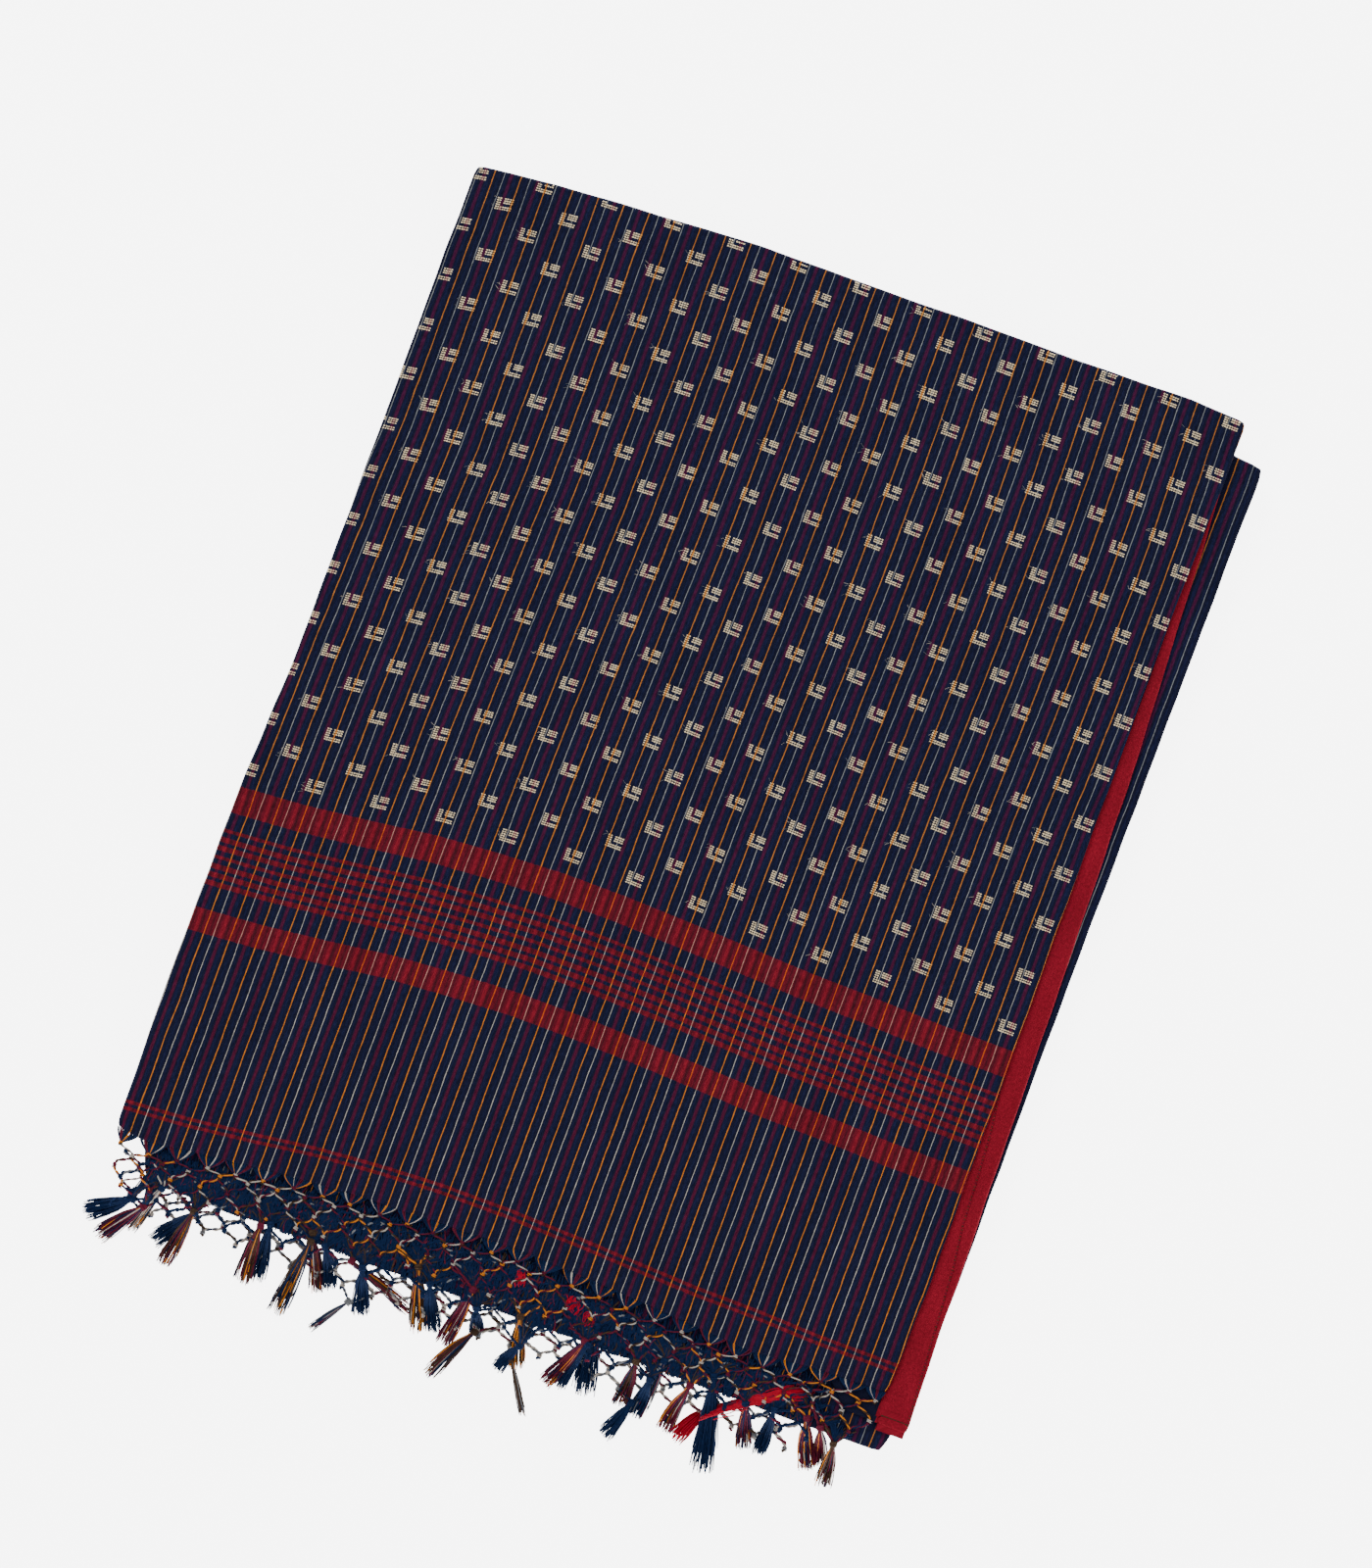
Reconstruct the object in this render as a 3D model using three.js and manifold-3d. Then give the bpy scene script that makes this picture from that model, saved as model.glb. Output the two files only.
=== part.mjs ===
// A cotton saree, folded flat for a shelf, with its knotted fringe lying out at the near end.
// Millimetres, +Z up. X runs across the cloth, and Y runs along its warp, away from the fringe.
// The cloth is first folded in four across its width, and then in turns along its length.
// From the top down: the pallu leaf, the leaf with the border, the body leaf, the other turns.
import * as THREE from 'three';
import { mergeVertices } from 'three/addons/utils/BufferGeometryUtils.js';
import Module from 'manifold-3d';

const wasm = await Module();
wasm.setup();
const { lerp, smoothstep } = THREE.MathUtils;

// Heights of the leaves above the surface that the saree lies on.
const GAP = 0.3;
const HIDDEN_TURNS = 11;
const HIDDEN_HEIGHT = 11.6;
const BODY_THICKNESS = 1.8;
const BORDER_THICKNESS = 1.5;
const PALLU_THICKNESS = 2;
const BODY_UNDERSIDE = HIDDEN_HEIGHT + GAP;
const BORDER_UNDERSIDE = BODY_UNDERSIDE + BODY_THICKNESS + GAP;
const PALLU_UNDERSIDE = BORDER_UNDERSIDE + BORDER_THICKNESS + GAP;

// How far a fold's corner is rounded off, and how deep the groove between two turns is.
const CORNER = 1.2;
const GROOVE = 0.9;

// Outlines of the three upper leaves: the side edges by y, the near and far edges by x.
const PALLU = {
  left: [
    { y: -180, x: -155 },
    { y: -117, x: -156 },
    { y: -40, x: -155.6 },
    { y: 15, x: -153.3 },
    { y: 192, x: -153.2 },
  ],
  right: [
    { y: -174, x: 140.8 },
    { y: -130, x: 141.8 },
    { y: -30, x: 140.8 },
    { y: 92, x: 140 },
    { y: 201, x: 141 },
  ],
  near: [
    { x: -155, y: -179.5 },
    { x: -144, y: -181 },
    { x: -104, y: -176.5 },
    { x: -61, y: -172.8 },
    { x: 2, y: -171.3 },
    { x: 46, y: -173.5 },
    { x: 90, y: -176.5 },
    { x: 115, y: -174.5 },
    { x: 141, y: -173.8 },
  ],
  far: [
    { x: -153, y: 192.4 },
    { x: -123, y: 195.8 },
    { x: -88, y: 198.1 },
    { x: -45, y: 200.6 },
    { x: 89, y: 201.8 },
    { x: 120, y: 202.4 },
    { x: 141, y: 201.3 },
  ],
};
const BORDER = {
  left: [
    { y: -168, x: -154 },
    { y: 190, x: -151.5 },
  ],
  right: [
    { y: -185, x: 153.3 },
    { y: -148, x: 151.7 },
    { y: -55, x: 149.7 },
    { y: 7, x: 148.4 },
    { y: 81, x: 146 },
    { y: 156, x: 142.1 },
    { y: 195, x: 139.4 },
  ],
  near: [
    { x: -154, y: -168 },
    { x: 112, y: -168 },
    { x: 128, y: -184.7 },
    { x: 153, y: -185.3 },
  ],
  far: [
    { x: -152, y: 190.5 },
    { x: -88, y: 196.3 },
    { x: -45, y: 198.8 },
    { x: 140, y: 199.8 },
  ],
};
const BODY = {
  left: [
    { y: -195, x: -139 },
    { y: -172, x: -147 },
    { y: -120, x: -151 },
    { y: 190, x: -150 },
  ],
  right: [
    { y: -195, x: 146.4 },
    { y: -187, x: 147.8 },
    { y: -165, x: 151.4 },
    { y: 0, x: 151.6 },
    { y: 188, x: 152.7 },
  ],
  near: [
    { x: -139, y: -194.6 },
    { x: 146, y: -194.8 },
  ],
  far: [
    { x: -150, y: 189.5 },
    { x: -90, y: 195 },
    { x: 124, y: 196.5 },
    { x: 141, y: 188.9 },
    { x: 153, y: 188 },
  ],
};

// The hidden turns, from the upper one down: how far in from the body leaf each edge lies.
const TURNS = [
  { left: 1.6, right: 1.1, near: 0.9, far: 1.2 },
  { left: 0.5, right: 0.4, near: 2.4, far: 2.9 },
  { left: 2.3, right: 1.8, near: 0.6, far: 0.8 },
  { left: 1.1, right: 0.7, near: 1.7, far: 2.2 },
  { left: 3.0, right: 2.2, near: 0.4, far: 1.3 },
  { left: 0.8, right: 0.5, near: 0.3, far: 3.4 },
  { left: 1.9, right: 1.4, near: 1.2, far: 0.9 },
  { left: 0.4, right: 2.5, near: 2.8, far: 2.1 },
  { left: 2.6, right: 0.9, near: 0.8, far: 0.6 },
  { left: 1.3, right: 1.7, near: 2.1, far: 2.6 },
  { left: 0.9, right: 1.2, near: 1.0, far: 1.5 },
];

// Soft swells in the folded cloth: the middle of each, its height and how far it spreads.
const SWELLS = [
  { x: -62, y: 118, height: 0.5, spreadX: 48, spreadY: 60 },
  { x: 68, y: 52, height: 0.6, spreadX: 52, spreadY: 74 },
  { x: -84, y: -72, height: 0.45, spreadX: 44, spreadY: 52 },
  { x: 34, y: -104, height: 0.4, spreadX: 58, spreadY: 38 },
];

// The knotted nets: the knots across each, and its rows of knots as shares of the way to its end.
const STRAND = 1.2;
const OPEN_SHARE = 0.76;
const STRIP = 1.2;
const UPPER_NET = { first: -151, last: 138, knots: 28, rows: [0.18, 0.45, 0.72, 1], end: -197.6 };
const LOWER_NET = { first: -133, last: 133, knots: 26, rows: [0.15, 0.55, 1], end: -206.3 };
const LOWER_STRIP_Y = -195.3;
const FALL_START_Y = -197.5;
const NET_FOOT_Y = -210;
const NET_ON_STACK = 15.1;
const NET_ON_BORDER = 16.6;
const NET_ON_FLOOR = 1.5;
const LOWER_STRIP_HEIGHT = 6.2;
const LOWER_FOOT_Y = -203;

// Tassels, by the knots that each gathers: the head's place, the tip's place, and its height.
const HEAD_RADIUS = 1.8;
const NECK_RADIUS = 0.6;
const LOCK_RADIUS = 1.1;
const TIP_RADIUS = 0.8;
const FLOOR_GAP = 0.3;
const FLOOR_TIP = 1.2;
const UPPER_TASSELS = [
  { from: 0, to: 0, x: -147, y: -207, tipX: -156, tipY: -215, tipZ: FLOOR_TIP, locks: 4, fan: 3 },
  { from: 1, to: 1, x: -137, y: -208, tipX: -147.5, tipY: -220.5, tipZ: FLOOR_TIP, locks: 4, fan: 3 },
  { from: 2, to: 3, x: -119.5, y: -205, tipX: -124, tipY: -220, tipZ: FLOOR_TIP, locks: 5, fan: 4 },
  { from: 4, to: 5, x: -94, y: -203, tipX: -93, tipY: -217.5, tipZ: FLOOR_TIP, locks: 5, fan: 4 },
  { from: 6, to: 6, x: -78, y: -201.5, tipX: -78, tipY: -223, tipZ: FLOOR_TIP, locks: 5, fan: 3.8 },
  { from: 7, to: 7, x: -69, y: -201.5, tipX: -65, tipY: -212, tipZ: FLOOR_TIP, locks: 4, fan: 3 },
  { from: 8, to: 9, x: -52.5, y: -201.5, tipX: -50, tipY: -214, tipZ: FLOOR_TIP, locks: 4, fan: 3.2 },
  { from: 10, to: 10, x: -40, y: -201.5, tipX: -35, tipY: -209, tipZ: 4.2, locks: 3, fan: 2 },
  { from: 11, to: 11, x: -29, y: -201.3, tipX: -26, tipY: -212.5, tipZ: FLOOR_TIP, locks: 5, fan: 3.6 },
  { from: 12, to: 12, x: -15, y: -201.2, tipX: -18, tipY: -213, tipZ: FLOOR_TIP, locks: 4, fan: 3 },
  { from: 13, to: 13, x: -7, y: -201.4, tipX: -5.5, tipY: -209.5, tipZ: 4.2, locks: 3, fan: 2 },
  { from: 14, to: 14, x: 5, y: -201.2, tipX: 6, tipY: -212.5, tipZ: FLOOR_TIP, locks: 4, fan: 3 },
  { from: 15, to: 16, x: 26.5, y: -201.5, tipX: 22.5, tipY: -213.5, tipZ: FLOOR_TIP, locks: 5, fan: 3.6 },
  { from: 17, to: 17, x: 36.5, y: -201.3, tipX: 37.5, tipY: -214, tipZ: FLOOR_TIP, locks: 5, fan: 3.8 },
  { from: 18, to: 18, x: 46.5, y: -201.6, tipX: 45.5, tipY: -212, tipZ: FLOOR_TIP, locks: 4, fan: 2.6 },
  { from: 19, to: 19, x: 59, y: -201.5, tipX: 60.5, tipY: -214, tipZ: FLOOR_TIP, locks: 4, fan: 3 },
  { from: 20, to: 20, x: 70.5, y: -202, tipX: 69, tipY: -215, tipZ: FLOOR_TIP, locks: 4, fan: 2.6 },
  { from: 21, to: 21, x: 81, y: -202.5, tipX: 86.5, tipY: -223.5, tipZ: FLOOR_TIP, locks: 5, fan: 4 },
  { from: 22, to: 22, x: 92, y: -203, tipX: 97, tipY: -213, tipZ: FLOOR_TIP, locks: 4, fan: 2.8 },
  { from: 23, to: 23, x: 103, y: -202.5, tipX: 105.5, tipY: -213, tipZ: FLOOR_TIP, locks: 4, fan: 2.6 },
  { from: 24, to: 24, x: 112.5, y: -201.5, tipX: 115.5, tipY: -211, tipZ: FLOOR_TIP, locks: 4, fan: 2.6 },
  { from: 25, to: 25, x: 122.5, y: -201.4, tipX: 124, tipY: -212, tipZ: FLOOR_TIP, locks: 4, fan: 2.8 },
  { from: 26, to: 26, x: 132, y: -201.6, tipX: 133, tipY: -214, tipZ: FLOOR_TIP, locks: 4, fan: 3 },
];
const LOWER_TASSELS = [
  { from: 7, to: 7, x: -57, y: -212.5, tipX: -64, tipY: -225, tipZ: FLOOR_TIP, locks: 2, fan: 1.2 },
  { from: 11, to: 11, x: -9.5, y: -213, tipX: -15.5, tipY: -227, tipZ: FLOOR_TIP, locks: 4, fan: 2.8 },
  { from: 14, to: 14, x: 16.5, y: -213, tipX: 20, tipY: -228, tipZ: FLOOR_TIP, locks: 2, fan: 1.2 },
  { from: 17, to: 17, x: 55, y: -213, tipX: 51, tipY: -225, tipZ: FLOOR_TIP, locks: 4, fan: 2.8 },
  { from: 19, to: 19, x: 76.5, y: -212, tipX: 73.5, tipY: -220.5, tipZ: FLOOR_TIP, locks: 4, fan: 2.8 },
];

const COLOURS = {
  indigo: 0x171c35,
  indigoDeep: 0x12182c,
  red: 0xa81c2a,
  netYarn: 0x3a2a33,
  tasselYarn: 0x1a2440,
};

// Reads a table by one column and gives another, straight between its rows.
function read(table, column, wanted, at) {
  const after = table.findIndex((row) => row[column] >= at);
  if (after === -1) return table.at(-1)[wanted];
  if (after === 0) return table[0][wanted];
  const low = table[after - 1];
  const high = table[after];
  return lerp(low[wanted], high[wanted], (at - low[column]) / (high[column] - low[column]));
}

function even(inset) {
  return { left: inset, right: inset, near: inset, far: inset };
}

// A point of a leaf's plan, at the share u across it and v along it, its edges moved in.
function place(outline, u, v, inset) {
  const along = lerp(read(outline.near, 'x', 'y', 0), read(outline.far, 'x', 'y', 0), v);
  const x = lerp(read(outline.left, 'y', 'x', along), read(outline.right, 'y', 'x', along), u);
  const y = lerp(read(outline.near, 'x', 'y', x), read(outline.far, 'x', 'y', x), v);
  const onSide = u === 0 || u === 1;
  const onEnd = v === 0 || v === 1;
  const corner = onSide && onEnd ? CORNER : 0;
  const inX = u === 0 ? inset.left + corner : -(inset.right + corner);
  const inY = v === 0 ? inset.near + corner : -(inset.far + corner);
  return [x + (onSide ? inX : 0), y + (onEnd ? inY : 0)];
}

// How far the swells lift the cloth at a place.
function swell(x, y) {
  const lift = (s) => s.height * Math.exp(-(((x - s.x) / s.spreadX) ** 2) - ((y - s.y) / s.spreadY) ** 2);
  return SWELLS.reduce((sum, s) => sum + lift(s), 0);
}

function geometryOf(positions) {
  const geometry = new THREE.BufferGeometry();
  geometry.setAttribute('position', new THREE.Float32BufferAttribute(positions, 3));
  return geometry;
}

// Even shares from 0 to 1, with any others that the outline needs.
function shares(count, others = []) {
  const evenly = Array.from({ length: count + 1 }, (_, index) => index / count);
  return [...evenly, ...others].sort((a, b) => a - b);
}

// A closed solid with a grid on top, a grid below and rings of points between them.
// Each level gives a point for a share across and a share along.
function gridSolid(across, along, levels) {
  const positions = [];
  const quad = (a, b, c, d) => positions.push(...a, ...b, ...c, ...a, ...c, ...d);
  const top = levels[0];
  const bottom = levels.at(-1);
  for (let i = 0; i < across.length - 1; i++) {
    for (let j = 0; j < along.length - 1; j++) {
      const [u, uNext] = across.slice(i, i + 2);
      const [v, vNext] = along.slice(j, j + 2);
      quad(top(u, v), top(uNext, v), top(uNext, vNext), top(u, vNext));
      quad(bottom(u, vNext), bottom(uNext, vNext), bottom(uNext, v), bottom(u, v));
    }
  }
  const loop = [
    ...across.slice(0, -1).map((u) => [u, 0]),
    ...along.slice(0, -1).map((v) => [1, v]),
    ...across.slice(1).reverse().map((u) => [u, 1]),
    ...along.slice(1).reverse().map((v) => [0, v]),
  ];
  for (let k = 0; k < levels.length - 1; k++) {
    const upper = levels[k];
    const lower = levels[k + 1];
    loop.forEach((here, index) => {
      const next = loop[(index + 1) % loop.length];
      quad(lower(...here), lower(...next), upper(...next), upper(...here));
    });
  }
  return geometryOf(positions);
}

// A leaf of folded cloth with a round edge, lying on the swells at a height of its own.
function leaf(outline, underside, thickness, across, along) {
  const radius = thickness / 2;
  const level = (angle) => (u, v) => {
    const [x, y] = place(outline, u, v, even(radius * (1 - Math.cos(angle))));
    return [x, y, underside + radius + radius * Math.sin(angle) + swell(x, y)];
  };
  const quarter = Math.PI / 2;
  return gridSolid(across, along, [quarter, quarter / 2, 0, -quarter / 2, -quarter].map(level));
}

// All the turns under the body leaf, as one solid with a ridge for each folded edge.
function hiddenTurns(across, along) {
  const level = (share, inset) => (u, v) => {
    const [x, y] = place(BODY, u, v, inset);
    return [x, y, share * (HIDDEN_HEIGHT + swell(x, y))];
  };
  const deeper = (turn) => ({
    left: turn.left + GROOVE,
    right: turn.right + GROOVE,
    near: turn.near + GROOVE,
    far: turn.far + GROOVE,
  });
  const levels = [level(1, deeper(TURNS[0]))];
  TURNS.forEach((turn, index) => {
    levels.push(level(1 - (index + 0.5) / HIDDEN_TURNS, turn));
    levels.push(level(1 - (index + 1) / HIDDEN_TURNS, deeper(turn)));
  });
  return gridSolid(across, along, levels);
}

// The turned hem of the border leaf, made from that leaf's points, moved up.
function borderHem() {
  const first = 141.6;
  const last = 152.2;
  const width = 3;
  const thickness = 1;
  const outline = {
    left: [{ y: 0, x: first }],
    right: [{ y: 0, x: last }],
    near: [
      { x: first, y: read(BORDER.near, 'x', 'y', first) + GAP },
      { x: last, y: read(BORDER.near, 'x', 'y', last) + GAP },
    ],
    far: [{ x: 0, y: read(BORDER.near, 'x', 'y', last) + width }],
  };
  const underside = BORDER_UNDERSIDE + BORDER_THICKNESS + GAP;
  const corners = (angle) => (u, v) => {
    const inset = (thickness / 2) * (1 - Math.cos(angle));
    const x = lerp(first + inset, last - inset, u);
    const near = read(outline.near, 'x', 'y', x) + inset;
    const y = lerp(near, read(outline.far, 'x', 'y', x) - inset, v);
    return [x, y, underside + (thickness / 2) * (1 + Math.sin(angle))];
  };
  const quarter = Math.PI / 2;
  return gridSolid(shares(3), shares(1), [quarter, 0, -quarter].map(corners));
}

// The cloth's near edge, which the upper net hangs from.
function clothEdge(x) {
  return read(PALLU.near, 'x', 'y', x) - GAP;
}

// Height of the middle of the upper net at a place on the plan.
function upperNetHeight(x, y) {
  const onBorder = smoothstep(x, 104, 112) * smoothstep(y, -193, -187);
  const flat = lerp(NET_ON_STACK, NET_ON_BORDER, onBorder);
  const leaving = 1 - smoothstep(clothEdge(x) - y, STRIP, 4);
  const nearEdge = lerp(flat, PALLU_UNDERSIDE + PALLU_THICKNESS / 2, leaving);
  const fallen = Math.min(Math.max((FALL_START_Y - y) / (FALL_START_Y - NET_FOOT_Y), 0), 1);
  return lerp(nearEdge, NET_ON_FLOOR, fallen);
}

// Height of the middle of the lower net, which comes out between the hidden turns.
function lowerNetHeight(x, y) {
  const fallen = Math.min(Math.max((LOWER_STRIP_Y - y) / (LOWER_STRIP_Y - LOWER_FOOT_Y), 0), 1);
  return lerp(LOWER_STRIP_HEIGHT, NET_ON_FLOOR, fallen);
}

// The place of one knot of a net: row 0 is nearest the cloth, and every other row is shifted.
function knotOf(net, edge, row, index) {
  const pitch = (net.last - net.first) / (net.knots - 1);
  const x = net.first + (index + (row % 2) / 2) * pitch;
  return new THREE.Vector2(x, lerp(edge(x), net.end, net.rows[row]));
}

// A plate from faces that share their corners on the plan, following a height over it.
// An edge that only one face has gets a wall, at the rim and round every opening.
function plate(faces, height) {
  const positions = [];
  const half = STRAND / 2;
  const high = (p) => [p.x, p.y, height(p.x, p.y) + half];
  const low = (p) => [p.x, p.y, height(p.x, p.y) - half];
  const key = (p, q) => [p.x, p.y, q.x, q.y].map((value) => value.toFixed(3)).join(' ');
  const sides = faces.flatMap((face) => face.map((p, index) => [p, face[(index + 1) % face.length]]));
  const known = new Set(sides.map(([p, q]) => key(p, q)));
  faces.forEach((face) => {
    for (let k = 1; k < face.length - 1; k++) {
      positions.push(...high(face[0]), ...high(face[k]), ...high(face[k + 1]));
      positions.push(...low(face[0]), ...low(face[k + 1]), ...low(face[k]));
    }
  });
  sides.filter(([p, q]) => !known.has(key(q, p))).forEach(([p, q]) => {
    positions.push(...low(p), ...low(q), ...high(q));
    positions.push(...low(p), ...high(q), ...high(p));
  });
  return geometryOf(positions);
}

// A net of knotted strands: every cell is a frame round an opening that is cut through.
// Above each knot of the first row, the gathered warp closes a small triangle.
function netPlate(net, edge, height) {
  const knot = (row, index) => knotOf(net, edge, row, index);
  const onEdge = (x) => new THREE.Vector2(x, edge(x));
  const countIn = (row) => net.knots - (row % 2);
  const faces = [];
  const frame = (corners) => {
    const middle = corners.reduce((sum, p) => sum.add(p), new THREE.Vector2()).divideScalar(4);
    const inner = corners.map((p) => p.clone().lerp(middle, 1 - OPEN_SHARE));
    corners.forEach((p, index) => {
      const next = (index + 1) % 4;
      faces.push([p, corners[next], inner[next], inner[index]]);
    });
  };
  for (let index = 0; index < net.knots; index++) {
    const gathered = knot(0, index);
    const right = index < net.knots - 1 ? knot(1, index).x : gathered.x;
    const left = index > 0 ? knot(1, index - 1).x : gathered.x;
    faces.push([gathered, onEdge(right), onEdge(left)]);
  }
  for (let index = 0; index < countIn(1); index++) {
    const low = knot(1, index);
    frame([onEdge(low.x), knot(0, index), low, knot(0, index + 1)]);
  }
  for (let row = 0; row + 2 < net.rows.length; row++) {
    const shift = row % 2;
    for (let index = 1 - shift; index < countIn(row) - 1 + shift; index++) {
      const left = knot(row + 1, index - 1 + shift);
      frame([knot(row, index), left, knot(row + 2, index), knot(row + 1, index + shift)]);
    }
  }
  return plate(faces, height);
}

// A strand with three sides along a curve, thinner towards its end.
function strand(curve, steps, startRadius, endRadius) {
  const rings = curve.getPoints(steps).map((centre, index) => {
    const along = curve.getTangent(index / steps);
    const side = new THREE.Vector3().crossVectors(along, new THREE.Vector3(0, 0, 1)).normalize();
    const up = new THREE.Vector3().crossVectors(side, along);
    const radius = lerp(startRadius, endRadius, index / steps);
    return [90, 210, 330].map((degrees) => {
      const angle = THREE.MathUtils.degToRad(degrees);
      const outwards = side.clone().multiplyScalar(Math.cos(angle)).addScaledVector(up, Math.sin(angle));
      return centre.clone().addScaledVector(outwards, radius);
    });
  });
  const positions = [];
  const face = (...corners) => corners.forEach((corner) => positions.push(...corner.toArray()));
  for (let i = 0; i < steps; i++) {
    for (let k = 0; k < 3; k++) {
      const next = (k + 1) % 3;
      face(rings[i][next], rings[i][k], rings[i + 1][k]);
      face(rings[i][next], rings[i + 1][k], rings[i + 1][next]);
    }
  }
  face(...rings[0]);
  face(...rings[steps].slice().reverse());
  return geometryOf(positions);
}

function solidOf(geometry) {
  const bare = geometry.clone();
  bare.deleteAttribute('normal');
  bare.deleteAttribute('uv');
  const merged = mergeVertices(bare, 1e-4);
  const vertProperties = new Float32Array(merged.getAttribute('position').array);
  const triVerts = new Uint32Array(merged.getIndex().array);
  return new wasm.Manifold(new wasm.Mesh({ numProp: 3, vertProperties, triVerts }));
}

function fuse(geometries) {
  const joined = geometries.map(solidOf).reduce((sum, next) => sum.add(next)).getMesh();
  const geometry = new THREE.BufferGeometry();
  geometry.setAttribute('position', new THREE.Float32BufferAttribute(joined.vertProperties, 3));
  geometry.setIndex(new THREE.Uint32BufferAttribute(joined.triVerts, 1));
  return geometry;
}

// A tassel: a bound head, the necks that tie it to the net, and its locks of cut yarn.
function tassel(row, net, edge, height) {
  const lastRow = net.rows.length - 1;
  const headHeight = Math.max(height(row.x, row.y), HEAD_RADIUS + FLOOR_GAP);
  const head = new THREE.Vector3(row.x, row.y, headHeight);
  const ball = new THREE.SphereGeometry(HEAD_RADIUS, 6, 4);
  ball.translate(head.x, head.y, head.z);
  const pieces = [ball];
  for (let index = row.from; index <= row.to; index++) {
    const knot = knotOf(net, edge, lastRow, index);
    const y = knot.y - NECK_RADIUS / 2 - GAP;
    const start = new THREE.Vector3(knot.x, y, height(knot.x, y));
    pieces.push(strand(new THREE.LineCurve3(head, start), 1, NECK_RADIUS, NECK_RADIUS));
  }
  for (let lock = 0; lock < row.locks; lock++) {
    const spread = row.fan * ((2 * lock) / (row.locks - 1) - 1);
    const away = new THREE.Vector2(row.tipX - row.x, row.tipY - row.y);
    const across = new THREE.Vector2(-away.y, away.x).normalize().multiplyScalar(spread);
    const tip = new THREE.Vector3(row.tipX + across.x, row.tipY + across.y, row.tipZ);
    const bend = new THREE.Vector3(
      row.x + away.x * 0.45 + across.x * 0.75,
      row.y + away.y * 0.45 + across.y * 0.75,
      Math.max(lerp(row.tipZ, head.z, 0.3), row.tipZ),
    );
    const curve = new THREE.QuadraticBezierCurve3(head, bend, tip);
    pieces.push(strand(curve, 3, LOCK_RADIUS, TIP_RADIUS));
  }
  return fuse(pieces);
}

const saree = new THREE.Group();

function add(name, geometry, colour) {
  const material = new THREE.MeshStandardMaterial({ color: colour, roughness: 0.9, metalness: 0 });
  const mesh = new THREE.Mesh(geometry, material);
  mesh.name = name;
  saree.add(mesh);
}

const shareAcross = (outline, x) => {
  const first = outline.far[0].x;
  return (x - first) / (outline.far.at(-1).x - first);
};
const bodyAcross = shares(8, [shareAcross(BODY, 124), shareAcross(BODY, 141)]);
const borderAcross = shares(9, [shareAcross(BORDER, 112), shareAcross(BORDER, 128)]);
add('hidden_turns', hiddenTurns(bodyAcross, shares(10)), COLOURS.indigoDeep);
add('body_leaf', leaf(BODY, BODY_UNDERSIDE, BODY_THICKNESS, bodyAcross, shares(12)), COLOURS.indigo);
add('border_leaf', leaf(BORDER, BORDER_UNDERSIDE, BORDER_THICKNESS, borderAcross, shares(10)), COLOURS.red);
add('border_hem', borderHem(), COLOURS.red);
add('pallu_leaf', leaf(PALLU, PALLU_UNDERSIDE, PALLU_THICKNESS, shares(15), shares(16)), COLOURS.indigo);
const lowerEdge = () => LOWER_STRIP_Y;
add('net_upper', netPlate(UPPER_NET, clothEdge, upperNetHeight), COLOURS.netYarn);
add('net_lower', netPlate(LOWER_NET, lowerEdge, lowerNetHeight), COLOURS.netYarn);
const number = (index) => String(index + 1).padStart(2, '0');
UPPER_TASSELS.forEach((row, index) => {
  add(`tassel_upper_${number(index)}`, tassel(row, UPPER_NET, clothEdge, upperNetHeight), COLOURS.tasselYarn);
});
LOWER_TASSELS.forEach((row, index) => {
  add(`tassel_lower_${number(index)}`, tassel(row, LOWER_NET, lowerEdge, lowerNetHeight), COLOURS.tasselYarn);
});

// The saree stands on the middle of its own underside.
const box = new THREE.Box3().setFromObject(saree);
const centre = box.getCenter(new THREE.Vector3());
saree.position.set(-centre.x, -centre.y, -box.min.z);

export default saree;
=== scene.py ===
# %% [markdown]
# # A folded cotton saree with a knotted fringe
#
# A saree is one long cloth. This one is folded in four across its width and then in turns along
# its length, as on a shop's shelf, with the decorated end on top and its knotted fringe lying
# out in front. The CAD part already says where each leaf of the stack lies. This lesson dresses
# it: thin cloth on each leaf, a woven pattern, raised motifs, a net of cords and tassels.
#
# The frame is loaded first, because every piece is placed from it.

import math
import random

import bpy
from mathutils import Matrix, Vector, noise


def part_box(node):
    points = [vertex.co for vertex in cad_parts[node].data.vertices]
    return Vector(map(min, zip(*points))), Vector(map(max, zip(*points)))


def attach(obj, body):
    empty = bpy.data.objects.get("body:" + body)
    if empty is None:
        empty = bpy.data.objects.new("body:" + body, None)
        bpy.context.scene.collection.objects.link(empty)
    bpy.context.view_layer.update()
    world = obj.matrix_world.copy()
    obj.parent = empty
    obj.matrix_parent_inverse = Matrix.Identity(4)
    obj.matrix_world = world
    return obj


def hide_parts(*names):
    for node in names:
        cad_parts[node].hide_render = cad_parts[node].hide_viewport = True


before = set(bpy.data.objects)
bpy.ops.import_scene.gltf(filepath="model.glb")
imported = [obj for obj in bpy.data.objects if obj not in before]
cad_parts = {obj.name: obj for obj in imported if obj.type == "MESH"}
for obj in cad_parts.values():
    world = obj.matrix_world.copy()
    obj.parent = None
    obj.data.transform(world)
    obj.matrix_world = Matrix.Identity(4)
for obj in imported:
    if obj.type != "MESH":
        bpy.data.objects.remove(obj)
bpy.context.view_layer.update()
print("CAD nodes:", len(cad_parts))

# %% [markdown]
# ## Sizes
#
# All lengths are millimetres on a drawing whose X runs across the cloth and whose Y runs along
# its warp, away from the fringe. The hem's box in the frame ties that drawing to the frame.
# The outlines are those of the three upper leaves, each given by a few points of its edges.

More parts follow.
